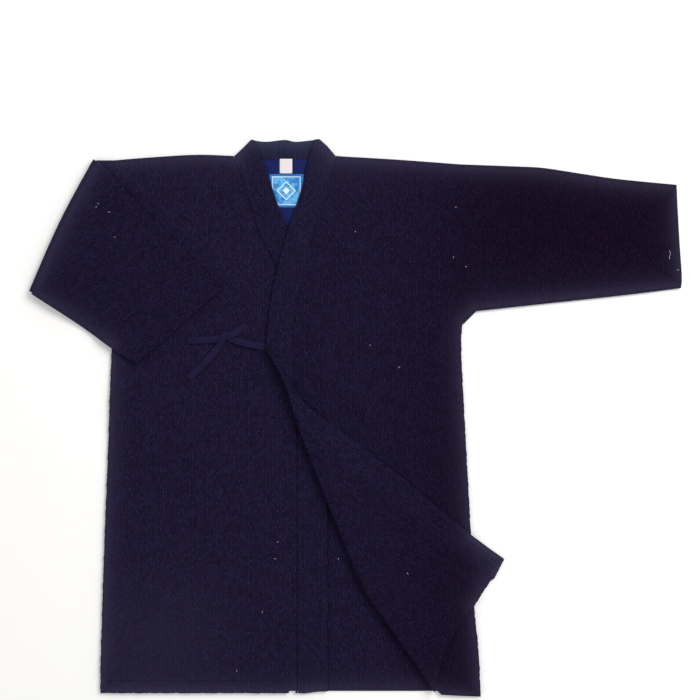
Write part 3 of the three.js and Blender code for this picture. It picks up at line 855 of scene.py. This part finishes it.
right_quilting = quilt_lines(edge_right, seam_right)
collar_right_cut = outline(
    top=collar_top_right,
    edge=edge_right,
    hem=straight(edge_right[-1], (50.0, 0.4), (26.0, FRONT_HEM - 0.8), (BAND_SEAM_X, FRONT_HEM)),
    seam=seam_right,
)
collar_right_layer = lay(
    collar_right_cut,
    BAND,
    over=under_fronts,
    rise=rumples(5, 0.12),
    press=sum(dipped(line) for line in right_quilting) + dipped(seam_right, SEAM_GROOVE),
)
collar_right = one_sheet(
    "front_right_band",
    "collar_right",
    collar_right_cut,
    collar_right_layer,
    band_cotton,
    ("seam",),
    1,
    BAND_ROUND,
)

# The left front lies over the right one. Its lower corner is turned back along a diagonal crease, so the
# panel is one cloth from the shoulder down to the crease, round a soft roll and up over itself.
FLAP_FOLD = 4.2
FLAP_RISE = 6.0
FLAP_SETTLE = 60.0
SEAM_DIP = 0.9
SEAM_SOFT = 4.0
TIP_LIFT = 2.6
TIP_WIDE = 24.0
TIP_REACH = 90.0
EDGE_LIFT = 2.4
EDGE_LIFT_WIDE = 26.0
EDGE_LIFT_REACH = 170.0
TIP_HELD = 0.4
TIP_HELD_REACH = 45.0
QUILT_PAST = 30.0
CREASE_BENDS = 10
CROSSING_AT = 126.0
LEFT_FOLDS = (
    (240, 640, 90, 540, 2.0, 60),
    (150, 790, 220, 700, 1.5, 55),
    (250, 480, 200, 380, 1.5, 55),
    (120, 700, 60, 600, 1.1, 40),
    (60, 502, 132, 450, 4.4, 30),
)
crease = smooth(
    (-35.7, 549), (-15.2, 512), (1.9, 470.7), (15.7, 423), (63.5, 300), (118, 170), (159, 108), (232.9, 2.2)
)
fold_line = beside(crease, FLAP_FOLD)
fold_run = run_of(fold_line)
band_fold = fold_stops(fold_line[fold_run < CROSSING_AT - SEAM_GAP])
panel_fold = fold_stops(fold_line[fold_run > CROSSING_AT + SEAM_GAP])
seam_left = smooth((76, 858), (62.4, 800), (42.4, 736), (22.4, 654), (9.6, 587), (8, 520), band_fold[-1])
flap_seam = smooth(
    band_fold[-1], (50.5, 396.5), (84, 368.5), (139, 327), (204, 275), (268.9, 223.8), (330.1, 180.3)
)
panel_seam = beside(flap_seam, -SEAM_GAP)[2:]
flap_hem = smooth(
    panel_seam[-1], (323.7, 176.2), (301.4, 143.4), (261.4, 86.1), (241.4, 38.9), panel_fold[-1]
)
flap_hem = uneven(flap_hem, 4)
left_hem = straight(panel_fold[-1], (245.5, -4.6), (308.5, -8))
edge_left = smooth((42.4, 884), (31.4, 850), (24, 813), (0.8, 741), (-14.4, 690), (-28, 624), (-35.7, 549))
flap_edge = smooth(band_fold[0], (16, 477.6), (49.8, 443.4), (138.7, 378.4), (293, 252), (346.4, 212.5))


def mirrored(start, end):
    """Turns places on folded cloth back to where they were on the flat cut, across the fold's line."""
    along = (end - start) / gap(end, start)

    def turned_back(points):
        """The places on the flat cut."""
        return 2 * (start + ((points - start) @ along)[:, None] * along) - points

    return turned_back


left_piece, left_fold, left_return = shoulder_piece(shoulder_left)
left_cut = outline(
    shoulder=left_fold,
    side=side_left[:-1],
    hem=left_hem[::-1],
    crease=panel_fold,
    seam=beside(seam_left, SEAM_GAP)[2:-2],
)
under_left = [*under_fronts, right_layer, collar_right_layer]
to_crease = nodes_from(crease[::6])
to_tip = np.hypot(grid_x - crease[0, 0], grid_y - crease[0, 1])
tip_lift = TIP_LIFT * np.exp(-((to_crease / TIP_WIDE) ** 2) - (to_tip / TIP_REACH) ** 2)
left_layer = lay(
    left_cut,
    CLOTH,
    over=under_left,
    rise=soft_folds(LEFT_FOLDS) + rumples(7) + hem_step(left_hem) + tip_lift,
)
collar_left_cut = outline(top=collar_top_left, seam=seam_left, crease=band_fold, edge=edge_left)
left_quilting = quilt_lines(edge_left, seam_left[seam_left[:, 1] > crease[0, 1] - QUILT_PAST])
collar_left_layer = lay(
    collar_left_cut,
    BAND,
    over=under_left,
    rise=rumples(9, 0.12) + tip_lift,
    press=sum(dipped(line) for line in left_quilting) + dipped(seam_left, SEAM_DIP, SEAM_SOFT),
)
to_edge = nodes_from(flap_edge[::4])
edge_lift = EDGE_LIFT * np.exp(-((to_edge / EDGE_LIFT_WIDE) ** 2) - (to_tip / EDGE_LIFT_REACH) ** 2)
held_down = 1 - TIP_HELD * np.exp(-((to_tip / TIP_HELD_REACH) ** 2))
flap_rise = FLAP_RISE * np.exp(-((to_crease / FLAP_SETTLE) ** 2)) * held_down + edge_lift
under_flap = [*under_left, left_layer, collar_left_layer]
flap_cut = outline(crease=panel_fold, hem=flap_hem, seam=panel_seam)
flap_layer = lay(flap_cut, CLOTH, over=under_flap, rise=flap_rise + rumples(11) + hem_step(flap_hem))
flat_flap = mirrored(crease[0], crease[-1])
left_sheet = add_sheet(left_piece, left_cut, left_layer, ("shoulder", "crease"), ("seam", "shoulder_on"))
flap_sheet = add_sheet(left_piece, flap_cut, flap_layer, ("crease",), ("seam",), flat=flat_flap)
add_roll(left_piece, left_return, left_sheet["shoulder"], THIN_FOLD)
add_roll(left_piece, left_sheet["crease"], flap_sheet["crease"], FLAP_FOLD, CREASE_BENDS)
left_cotton = sashiko_cotton("left_front_sashiko_cotton", 0x231E3B, 0x0C0918, 0x1E0E26, 0x3E3951)
front_left = finish_piece("front_left_panel", "front_left", left_piece, left_cotton)

# The left stretch of the collar band follows the left front's edge. It turns back with the corner, round
# the same crease, and ends at the turned-back hem.
flap_band_cut = outline(
    crease=band_fold, seam=flap_seam, end=straight(flap_seam[-1], flap_edge[-1]), edge=flap_edge
)
flap_quilting = quilt_lines(flap_edge[20:], flap_seam)
flap_band_layer = lay(
    flap_band_cut,
    BAND,
    over=under_flap,
    rise=flap_rise + rumples(11),
    press=sum(dipped(line) for line in flap_quilting) + dipped(flap_seam, SEAM_DIP, SEAM_SOFT),
)
piece = new_piece()
sheets = []
for cut, layer, flat in (
    (collar_left_cut, collar_left_layer, np.copy),
    (flap_band_cut, flap_band_layer, flat_flap),
):
    sheets.append(add_sheet(piece, cut, layer, ("crease",), ("seam",), 1, flat, BAND_ROUND))
add_roll(piece, sheets[0]["crease"], sheets[1]["crease"], FLAP_FOLD, CREASE_BENDS)
collar_left = finish_piece("front_left_band", "collar_left", piece, band_cotton)

# The left sleeve lies straight out. It is a flat tube of the same cotton, with a fold along its top and
# its underside, an open cuff that is turned in and sewn, and an armhole seam.
TUBE_FOLDS = ("top", "under")
SLEEVE_FOLDS = (
    (320, 650, 430, 760, 2.2, 55),
    (480, 700, 600, 720, 1.8, 50),
    (300, 800, 400, 790, 1.2, 35),
    (520, 790, 600, 690, 1.0, 40),
)
sleeve_top = smooth((279.15, 844.5), (371, 841), (413, 838.4), (480, 828), (531, 820.8), (622, 811.8))
sleeve_top = fold_stops(beside(sleeve_top, -THIN_FOLD))
sleeve_under = smooth((629.3, 646.4), (553.6, 636.8), (459, 626.4), (369.6, 616.8), (301.6, 609.4))[:-1]
sleeve_under = np.vstack([sleeve_under, smooth((301.6, 609.4), (280.8, UNDERARM - 0.6))])
sleeve_under = fold_stops(beside(sleeve_under, -THIN_FOLD))
sleeve_cuff = smooth(sleeve_top[-1], (625.6, 731), (630.1, 667), sleeve_under[0])
sleeve_cut = outline(top=sleeve_top, cuff=sleeve_cuff, under=sleeve_under)
sleeve_back_layer = lay(sleeve_cut, CLOTH)
sleeve_front_layer = lay(
    sleeve_cut,
    CLOTH,
    over=[sleeve_back_layer],
    rise=soft_folds(SLEEVE_FOLDS) + rumples(13) + hem_step(sleeve_cuff),
)
piece = new_piece()
lower = add_sheet(piece, sleeve_cut, sleeve_back_layer, TUBE_FOLDS, ("under_on",), 4)
upper = add_sheet(piece, sleeve_cut, sleeve_front_layer, TUBE_FOLDS, ("under_on",))
for side in TUBE_FOLDS:
    add_roll(piece, lower[side], upper[side], THIN_FOLD)
sleeve_left = finish_piece("left_sleeve", "sleeve_left", piece, left_cotton)

# The right sleeve is the same flat tube. It runs out to a fold and is turned in over the right front, so
# four walls lie on each other at the fold, and its cuff points down towards the middle.
SLEEVE_FOLD = 6.6
INNER_FOLD = 4.0
SLEEVE_RISE = 3.2
SLEEVE_SETTLE = 55.0
FOLDED_FOLDS = (
    (-350, 700, -250, 640, 1.6, 50),
    (-250, 760, -300, 640, 1.2, 40),
    (-200, 640, -250, 580, 1.0, 35),
)
fold_right = smooth((-311.2, 851.8), (-364.8, 752), (-413.6, 641.6))
sleeve_fold = fold_stops(beside(fold_right, SLEEVE_FOLD))
stub_top = fold_stops([sleeve_fold[0], (-ARMHOLE - SEAM_GAP, 848.6)])
stub_under = fold_stops([sleeve_fold[-1], (-302, 611), (-ARMHOLE - SEAM_GAP, UNDERARM + 3)])
stub_cut = outline(top=stub_top, fold=sleeve_fold, under=stub_under)
folded_top = smooth((-303, 849), (-280, 824.8), (-224.5, 766.4), (-163.5, 705.4), (-105.6, 644.8))
folded_top = beside(folded_top, -THIN_FOLD)
folded_top = fold_stops(np.vstack([sleeve_fold[:1], folded_top[2:]]))
folded_under = smooth((-240.8, 522.7), (-281.6, 549.6), (-339.2, 590.4), sleeve_fold[-1] - (2, 2))
folded_under = beside(folded_under, -THIN_FOLD)
folded_under = fold_stops(np.vstack([folded_under[:-2], sleeve_fold[-1:]]))
folded_cuff = straight(folded_top[-1], folded_under[0])
folded_cut = outline(top=folded_top, cuff=folded_cuff, under=folded_under, fold=sleeve_fold)
settle = SLEEVE_RISE * np.exp(-((nodes_from(fold_right[::6]) / SLEEVE_SETTLE) ** 2))
stub_back_layer = lay(stub_cut, CLOTH)
stub_front_layer = lay(stub_cut, CLOTH, over=[stub_back_layer], rise=rumples(3))
under_sleeve = [*under_left, left_layer, collar_left_layer, stub_back_layer, stub_front_layer]
folded_front_layer = lay(folded_cut, CLOTH, over=under_sleeve, rise=settle)
folded_back_layer = lay(
    folded_cut,
    CLOTH,
    over=[folded_front_layer],
    rise=rumples(17) + hem_step(folded_cuff, height=0.7) + soft_folds(FOLDED_FOLDS),
)
flat_sleeve = mirrored(fold_right[0], fold_right[-1])
piece = new_piece()
folds = (*TUBE_FOLDS, "fold")
stub_lower = add_sheet(piece, stub_cut, stub_back_layer, folds, ("under_on",), 4)
stub_upper = add_sheet(piece, stub_cut, stub_front_layer, folds, ("under_on",), 4)
folded_lower = add_sheet(piece, folded_cut, folded_front_layer, folds, (), 4, flat_sleeve)
folded_upper = add_sheet(piece, folded_cut, folded_back_layer, folds, (), 2, flat_sleeve)
add_roll(piece, stub_upper["fold"], folded_lower["fold"], INNER_FOLD)
add_roll(piece, stub_lower["fold"], folded_upper["fold"], SLEEVE_FOLD, CREASE_BENDS)
for side in TUBE_FOLDS:
    add_roll(piece, stub_lower[side], stub_upper[side], THIN_FOLD)
    add_roll(piece, folded_lower[side], folded_upper[side], THIN_FOLD)
sleeve_right = finish_piece("right_sleeve", "sleeve_right", piece, left_cotton)

# Wear shows along the jacket's outer edges, where the indigo is rubbed off the cotton. It is palest about
# two millimetres in from the edge and fades over the next few centimetres. Nearer the edge it is held back,
# a painted shade of the rounded edge. The dye is also more plum towards the left sleeve, and a little bluer
# low on that sleeve.
WEAR_MOST = 0.52
WEAR_REACH = 11.5
# The next two hold the wear back over the outermost two millimetres: painted shade of the rounded edge.
RIM_SHADE_START = 0.65
RIM_SHADE_SCALE = 5
WEAR_PATCHES = ((-215, 70, 120, 0.16), (60, 860, 90, 0.05), (325, 205, 40, 0.08))
PLUM_FROM = 90.0
PLUM_TO = 400.0
PLUM_LOW = 715.0
BLUER_MOST = 0.45
BLUER_DOWN = 90
BLUER_OUT = 40
all_layers = [
    *under_flap, flap_layer, flap_band_layer, sleeve_front_layer, stub_front_layer, folded_back_layer
]
whole = np.any([layer["mask"] for layer in all_layers], axis=0)
rim_nodes = grid_points[(whole & ~spread(whole, 1, np.min)).ravel()]
rim_tree = KDTree(len(rim_nodes))
for k, (x, y) in enumerate(rim_nodes):
    rim_tree.insert((x, y, 0), k)
rim_tree.balance()
from_rim = np.zeros(len(grid_points))
for k in np.flatnonzero(whole.ravel()):
    from_rim[k] = rim_tree.find((*grid_points[k], 0))[2]
from_rim = from_rim.reshape(grid_x.shape)
fronts = (front_right, collar_right, front_left, collar_left)
for made in (back, neck_band, *fronts, sleeve_left, sleeve_right):
    places = np.zeros(3 * len(made.data.vertices))
    made.data.vertices.foreach_get("co", places)
    places = places.reshape(-1, 3) * 1000 - to_row
    inward = height_at(from_rim, places)
    # The clip holds the wear back near the rim, a painted shade of the rounded edge.
    wear_and_rim_shade = WEAR_MOST * np.exp(-inward / WEAR_REACH) * np.clip(RIM_SHADE_START + inward / RIM_SHADE_SCALE, 0, 1)
    for x, y, size, amount in WEAR_PATCHES:
        wear_and_rim_shade += amount * np.exp(-(((places[:, 0] - x) ** 2 + (places[:, 1] - y) ** 2) / size**2))
    made.data.attributes.new("pale", "FLOAT", "POINT").data.foreach_set("value", wear_and_rim_shade)
    x, y = places[:, 0], places[:, 1]
    plum = np.clip((x - PLUM_FROM) / (PLUM_TO - PLUM_FROM), 0, 1)
    bluer = np.clip((PLUM_LOW - y) / BLUER_DOWN, 0, 1) * np.clip((x - ARMHOLE) / BLUER_OUT, 0, 1)
    plum = plum * plum * (3 - 2 * plum) * (1 - BLUER_MOST * bluer)
    made.data.attributes.new("plum", "FLOAT", "POINT").data.foreach_set("value", plum)

# The two ties are flat tubes of plain cotton, sewn to the left band's edge and to the right front. The
# left one goes under the right one, comes up round it and ends below: a loose half knot.
TIE = 1.8
TIE_WIDE = 11.0
TIE_STEP = 1.6
TIE_SIDES = 16
TIE_CURVE_STEPS = 16
TIE_SQUARE = 0.35
TIE_ROUND = 0.6
TIE_END = 0.35
TIE_OVER = TIE + LAY_GAP
TIE_GROUND = (-180, 0, 480, 620)
LEFT_TIE = (
    (-35.0, 552.0, 0, 80),
    (-48.0, 554.0, 1.5, 80),
    (-64.0, 557.0, 2.2, 78),
    (-80.0, 561.0, 1.0, 66),
    (-92.0, 566.0, 0, 48),
    (-98.0, 571.0, 0, 28),
    (-100.0, 575.0, 0.4, 18),
    (-100.8, 576.6, TIE_OVER, 14),
    (-101.2, 574.6, 2 * TIE_OVER - 0.2, 10),
    (-103.0, 568.0, 2 * TIE_OVER, 4),
    (-107.0, 559.0, 1.6 * TIE_OVER, -12),
    (-113.5, 549.0, 0.6, -30),
    (-124.0, 536.5, 1.6, -42),
    (-141.0, 519.0, 1.4, -45),
    (-158.4, 501.6, 0, -45),
)
RIGHT_TIE = (
    (-64.8, 587.2, 0, 123),
    (-76.0, 580.0, 0.3, 122),
    (-88.0, 573.0, 1.8, 116),
    (-101.0, 568.0, TIE_OVER, 107),
    (-114.0, 565.0, 1.9, 99),
    (-128.0, 563.4, 1.4, 94),
    (-144.0, 562.8, 1.2, 92),
    (-160.8, 562.4, 0, 91),
)
tie_cotton = plain_cotton("tie_cotton", 0x241E43, 0x0B0819, 2.2, 0.9)
tie_ground = lay(rectangle(*TIE_GROUND), 0, over=[*under_left, folded_back_layer])["low"]


def tube_faces(rings):
    """The faces of a closed tube, from the numbers of the points in its rings."""
    faces = []
    for here, there in zip(rings, rings[1:]):
        for m in range(len(here)):
            n = (m + 1) % len(here)
            faces.append([here[m], here[n], there[n], there[m]])
    return [*faces, list(rings[0][::-1]), list(rings[-1])]


def ribbon(name, node, stops):
    """A flat tie through its stops: each a place, the lift above the cloth under it and the angle that its
    width takes. Returns the tie, its path and its length."""
    dense = through(np.array(stops, float), TIE_CURVE_STEPS)
    dense[:, 2] += height_at(tie_ground, dense) + TIE / 2
    run = run_of(dense[:, :3])
    stations = np.linspace(0, run[-1], math.ceil(run[-1] / TIE_STEP))
    path = at_stops(dense, run, stations)
    turn = np.radians(path[:, 3])
    path = path[:, :3]
    wide = np.column_stack([np.cos(turn), np.sin(turn), np.zeros(len(turn))])
    thick = unit(np.cross(np.gradient(path, axis=0), wide))
    angles = np.arange(TIE_SIDES) * math.tau / TIE_SIDES
    across = np.sign(np.cos(angles)) * np.abs(np.cos(angles)) ** TIE_SQUARE * TIE_WIDE / 2
    up = np.sign(np.sin(angles)) * np.abs(np.sin(angles)) ** TIE_ROUND * TIE / 2
    piece = new_piece()
    rings = []
    for k, middle in enumerate(path):
        thin = TIE_END if k in (0, len(path) - 1) else 1.0
        points = middle + wide[k] * across[:, None] + thick[k] * (up * thin)[:, None]
        flat = np.column_stack([across, np.full(TIE_SIDES, stations[k])])
        rings.append(add_points(piece, points, flat))
    piece["faces"] = tube_faces(rings)
    made = finish_piece(name, node, piece, tie_cotton)
    return made, in_row(path), float(run[-1]) / 1000


tie_left, left_path, left_length = ribbon("left_tie", "tie_left", LEFT_TIE)
tie_right, right_path, right_length = ribbon("right_tie", "tie_right", RIGHT_TIE)

# The sewing is done in navy cotton thread: four rows of quilting along the band on each front, a row beside
# each front's seam, one at each cuff and one along the hems of the right front and the turned-back corner.
# The label's row is finer and blue. The right front's two rows are near-black: a painted shadow line.
THREAD = 0.55
STITCH_LONG = 3.4
STITCH_PITCH = 4.4
STITCH_SIDES = 6
STITCH_SHARES = (-0.5, -0.3, 0.3, 0.5)
STITCH_SINKS = (-0.6, 0.1, 0.1, -0.6)
STITCH_CLEAR = 9
STITCH_AHEAD = 0.5
LOOP_CLEAR = 0.97
SEAM_SIDE = 3.0
# The right front's rows use a thicker near-black thread, sewn close to its seam: a painted shadow line.
DARK_SEAM_SIDE = 0.9
DARK_THREAD = 0.8
LABEL_INSET = 1.2
LABEL_STITCHES = (1.8, 2.6, 0.35)


def thread_cotton(name, colour):
    """Twisted sewing thread: matt and even."""
    material, tree = new_material(name)
    twisted = {"Base Color": linear(colour), "Roughness": 0.8, "Specular IOR Level": 0.1}
    shader = add_node(tree, "BsdfPrincipled", twisted)
    add_node(tree, "OutputMaterial", {"Surface": shader.outputs["BSDF"]})
    return material


def stitches(name, slot, material, rows, long=STITCH_LONG, pitch=STITCH_PITCH, thick=THREAD):
    """Rows of stitches as one piece. Each row is a line and the layer it is sewn in."""
    angles = np.arange(STITCH_SIDES) * math.tau / STITCH_SIDES
    points, faces = [], []
    for line, layer in rows:
        run = run_of(line)
        stops = np.arange(pitch / 2, run[-1], pitch)
        middles = at_stops(line, run, stops)
        along = unit(at_stops(line, run, stops + STITCH_AHEAD) - at_stops(line, run, stops - STITCH_AHEAD))
        for middle, (dx, dy) in zip(middles, along):
            start = len(points)
            ends = middle + np.array(STITCH_SHARES)[:, None] * long * (dx, dy)
            heights = height_at(layer["top"], ends) + thick * np.array(STITCH_SINKS)
            points.append((*ends[0], heights[0]))
            for (x, y), z in zip(ends[1:3], heights[1:3]):
                for c, s in zip(np.cos(angles), np.sin(angles)):
                    points.append((x - dy * c * thick / 2, y + dx * c * thick / 2, z + s * thick / 2))
            points.append((*ends[3], heights[3]))
            last = start + 2 * STITCH_SIDES + 1
            for m in range(STITCH_SIDES):
                here, there = start + 1 + m, start + 1 + (m + 1) % STITCH_SIDES
                far_here, far_there = here + STITCH_SIDES, there + STITCH_SIDES
                faces.append((start, there, here))
                faces.append((here, there, far_there, far_here))
                faces.append((last, far_here, far_there))
    new_object(name, points, faces, material)


def inside(line, amount):
    """A line moved sideways and cleared of the loops that its bends make."""
    moved = beside(line, amount)
    return moved[distance(moved, line) > LOOP_CLEAR * abs(amount)]


navy_thread = thread_cotton("navy_thread", 0x1B1838)
# Near-black thread: painted shade, the shadow line along the right front's seam and hem.
painted_shade_thread = thread_cotton("navy_thread_painted_shade", 0x070510)
blue_thread = thread_cotton("blue_thread", 0x2A63B4)
band_rows = [(line, collar_right_layer) for line in right_quilting]
for lines, layer in ((left_quilting, collar_left_layer), (flap_quilting, flap_band_layer)):
    band_rows += [(line[distance(line, band_fold) > STITCH_CLEAR], layer) for line in lines]
stitches("band_stitching", "band_cotton", navy_thread, band_rows)
# Rows in the near-black thread, which paints a shadow line along the right front's hem and seam.
painted_shade_rows = [
    (inside(right_hem, -HEM_DEEP)[4:-2], right_layer),
    (inside(seam_right[6:], -DARK_SEAM_SIDE), right_layer),
]
stitches("seam_stitching_painted_shade", "cotton", painted_shade_thread, painted_shade_rows, thick=DARK_THREAD)
panel_rows = [
    (inside(seam_left[6:-6], SEAM_SIDE), left_layer),
    (inside(flap_hem, -HEM_DEEP)[4:-4], flap_layer),
    (inside(sleeve_cuff, -HEM_DEEP)[4:-4], sleeve_front_layer),
    (inside(folded_cuff, -HEM_DEEP)[4:-4], folded_back_layer),
]
stitches("panel_stitching", "cotton", navy_thread, panel_rows)
label_sides = rectangle(
    LABEL_LEFT + LABEL_INSET, LABEL_RIGHT - LABEL_INSET, LABEL_BOTTOM + LABEL_INSET, LABEL_TOP - LABEL_INSET
)
label_rows = [(label_sides[side], label_layer) for side in ("bottom", "right", "top", "left")]
stitches("label_stitching", "woven_blue", blue_thread, label_rows, *LABEL_STITCHES)

# A few specks of pale lint and one end of pale thread lie on the cloth, as they do on any dark cotton.
LINT_THICK = 0.7
LINT_STEP = 0.6
LINT_RAISED = 0.6
LINT_END = 0.4
LINT = (
    (-304, 776), (-301.5, 779), (-283, 766.4), (-274.7, 726.9), (-17.6, 240), (-19.2, 212.8), (80, 211.2),
    (190.4, 192), (-81.6, 35.2), (131.2, 553.6), (179.2, 520), (108.8, 737.6), (-40, 129.6), (267.2, 776),
    (264, 694.4), (285.6, 680), (625.6, 675.2),
)
THREAD_END = ((609.6, 706), (611.2, 701), (609.4, 696), (610.4, 692))
lint_fibre = thread_cotton("pale_lint", 0xB4AEBC)
surface = np.max([np.where(layer["mask"], layer["top"], 0) for layer in all_layers], axis=0)


def fibre(name, line):
    """A curled fibre that lies on the cloth."""
    line = smooth(*line, step=LINT_STEP)
    middles = np.column_stack([line, height_at(surface, line) + LINT_THICK * LINT_RAISED])
    along = unit(np.gradient(line, axis=0))
    angles = np.arange(STITCH_SIDES) * math.tau / STITCH_SIDES
    points = []
    for k, ((x, y, z), (dx, dy)) in enumerate(zip(middles, along)):
        half = LINT_THICK / 2 * (LINT_END if k in (0, len(middles) - 1) else 1)
        for c, s in zip(np.cos(angles), np.sin(angles)):
            points.append((x - dy * half * c, y + dx * half * c, z + half * s))
    rings = np.arange(len(points)).reshape(-1, STITCH_SIDES).tolist()
    new_object(name, points, tube_faces(rings), lint_fibre)


chance = random.Random(29)
for k, start in enumerate(np.array(LINT)):
    turn, size = chance.uniform(0, math.tau), chance.uniform(1.1, 2.0)
    bend = turn + chance.uniform(0.6, 1.4)
    ways = size * np.array([(0, 0), (math.cos(turn), math.sin(turn)), (math.cos(bend), math.sin(bend))])
    fibre(f"lint_{k + 1}", start + np.cumsum(ways, axis=0))
fibre("thread_end", THREAD_END)
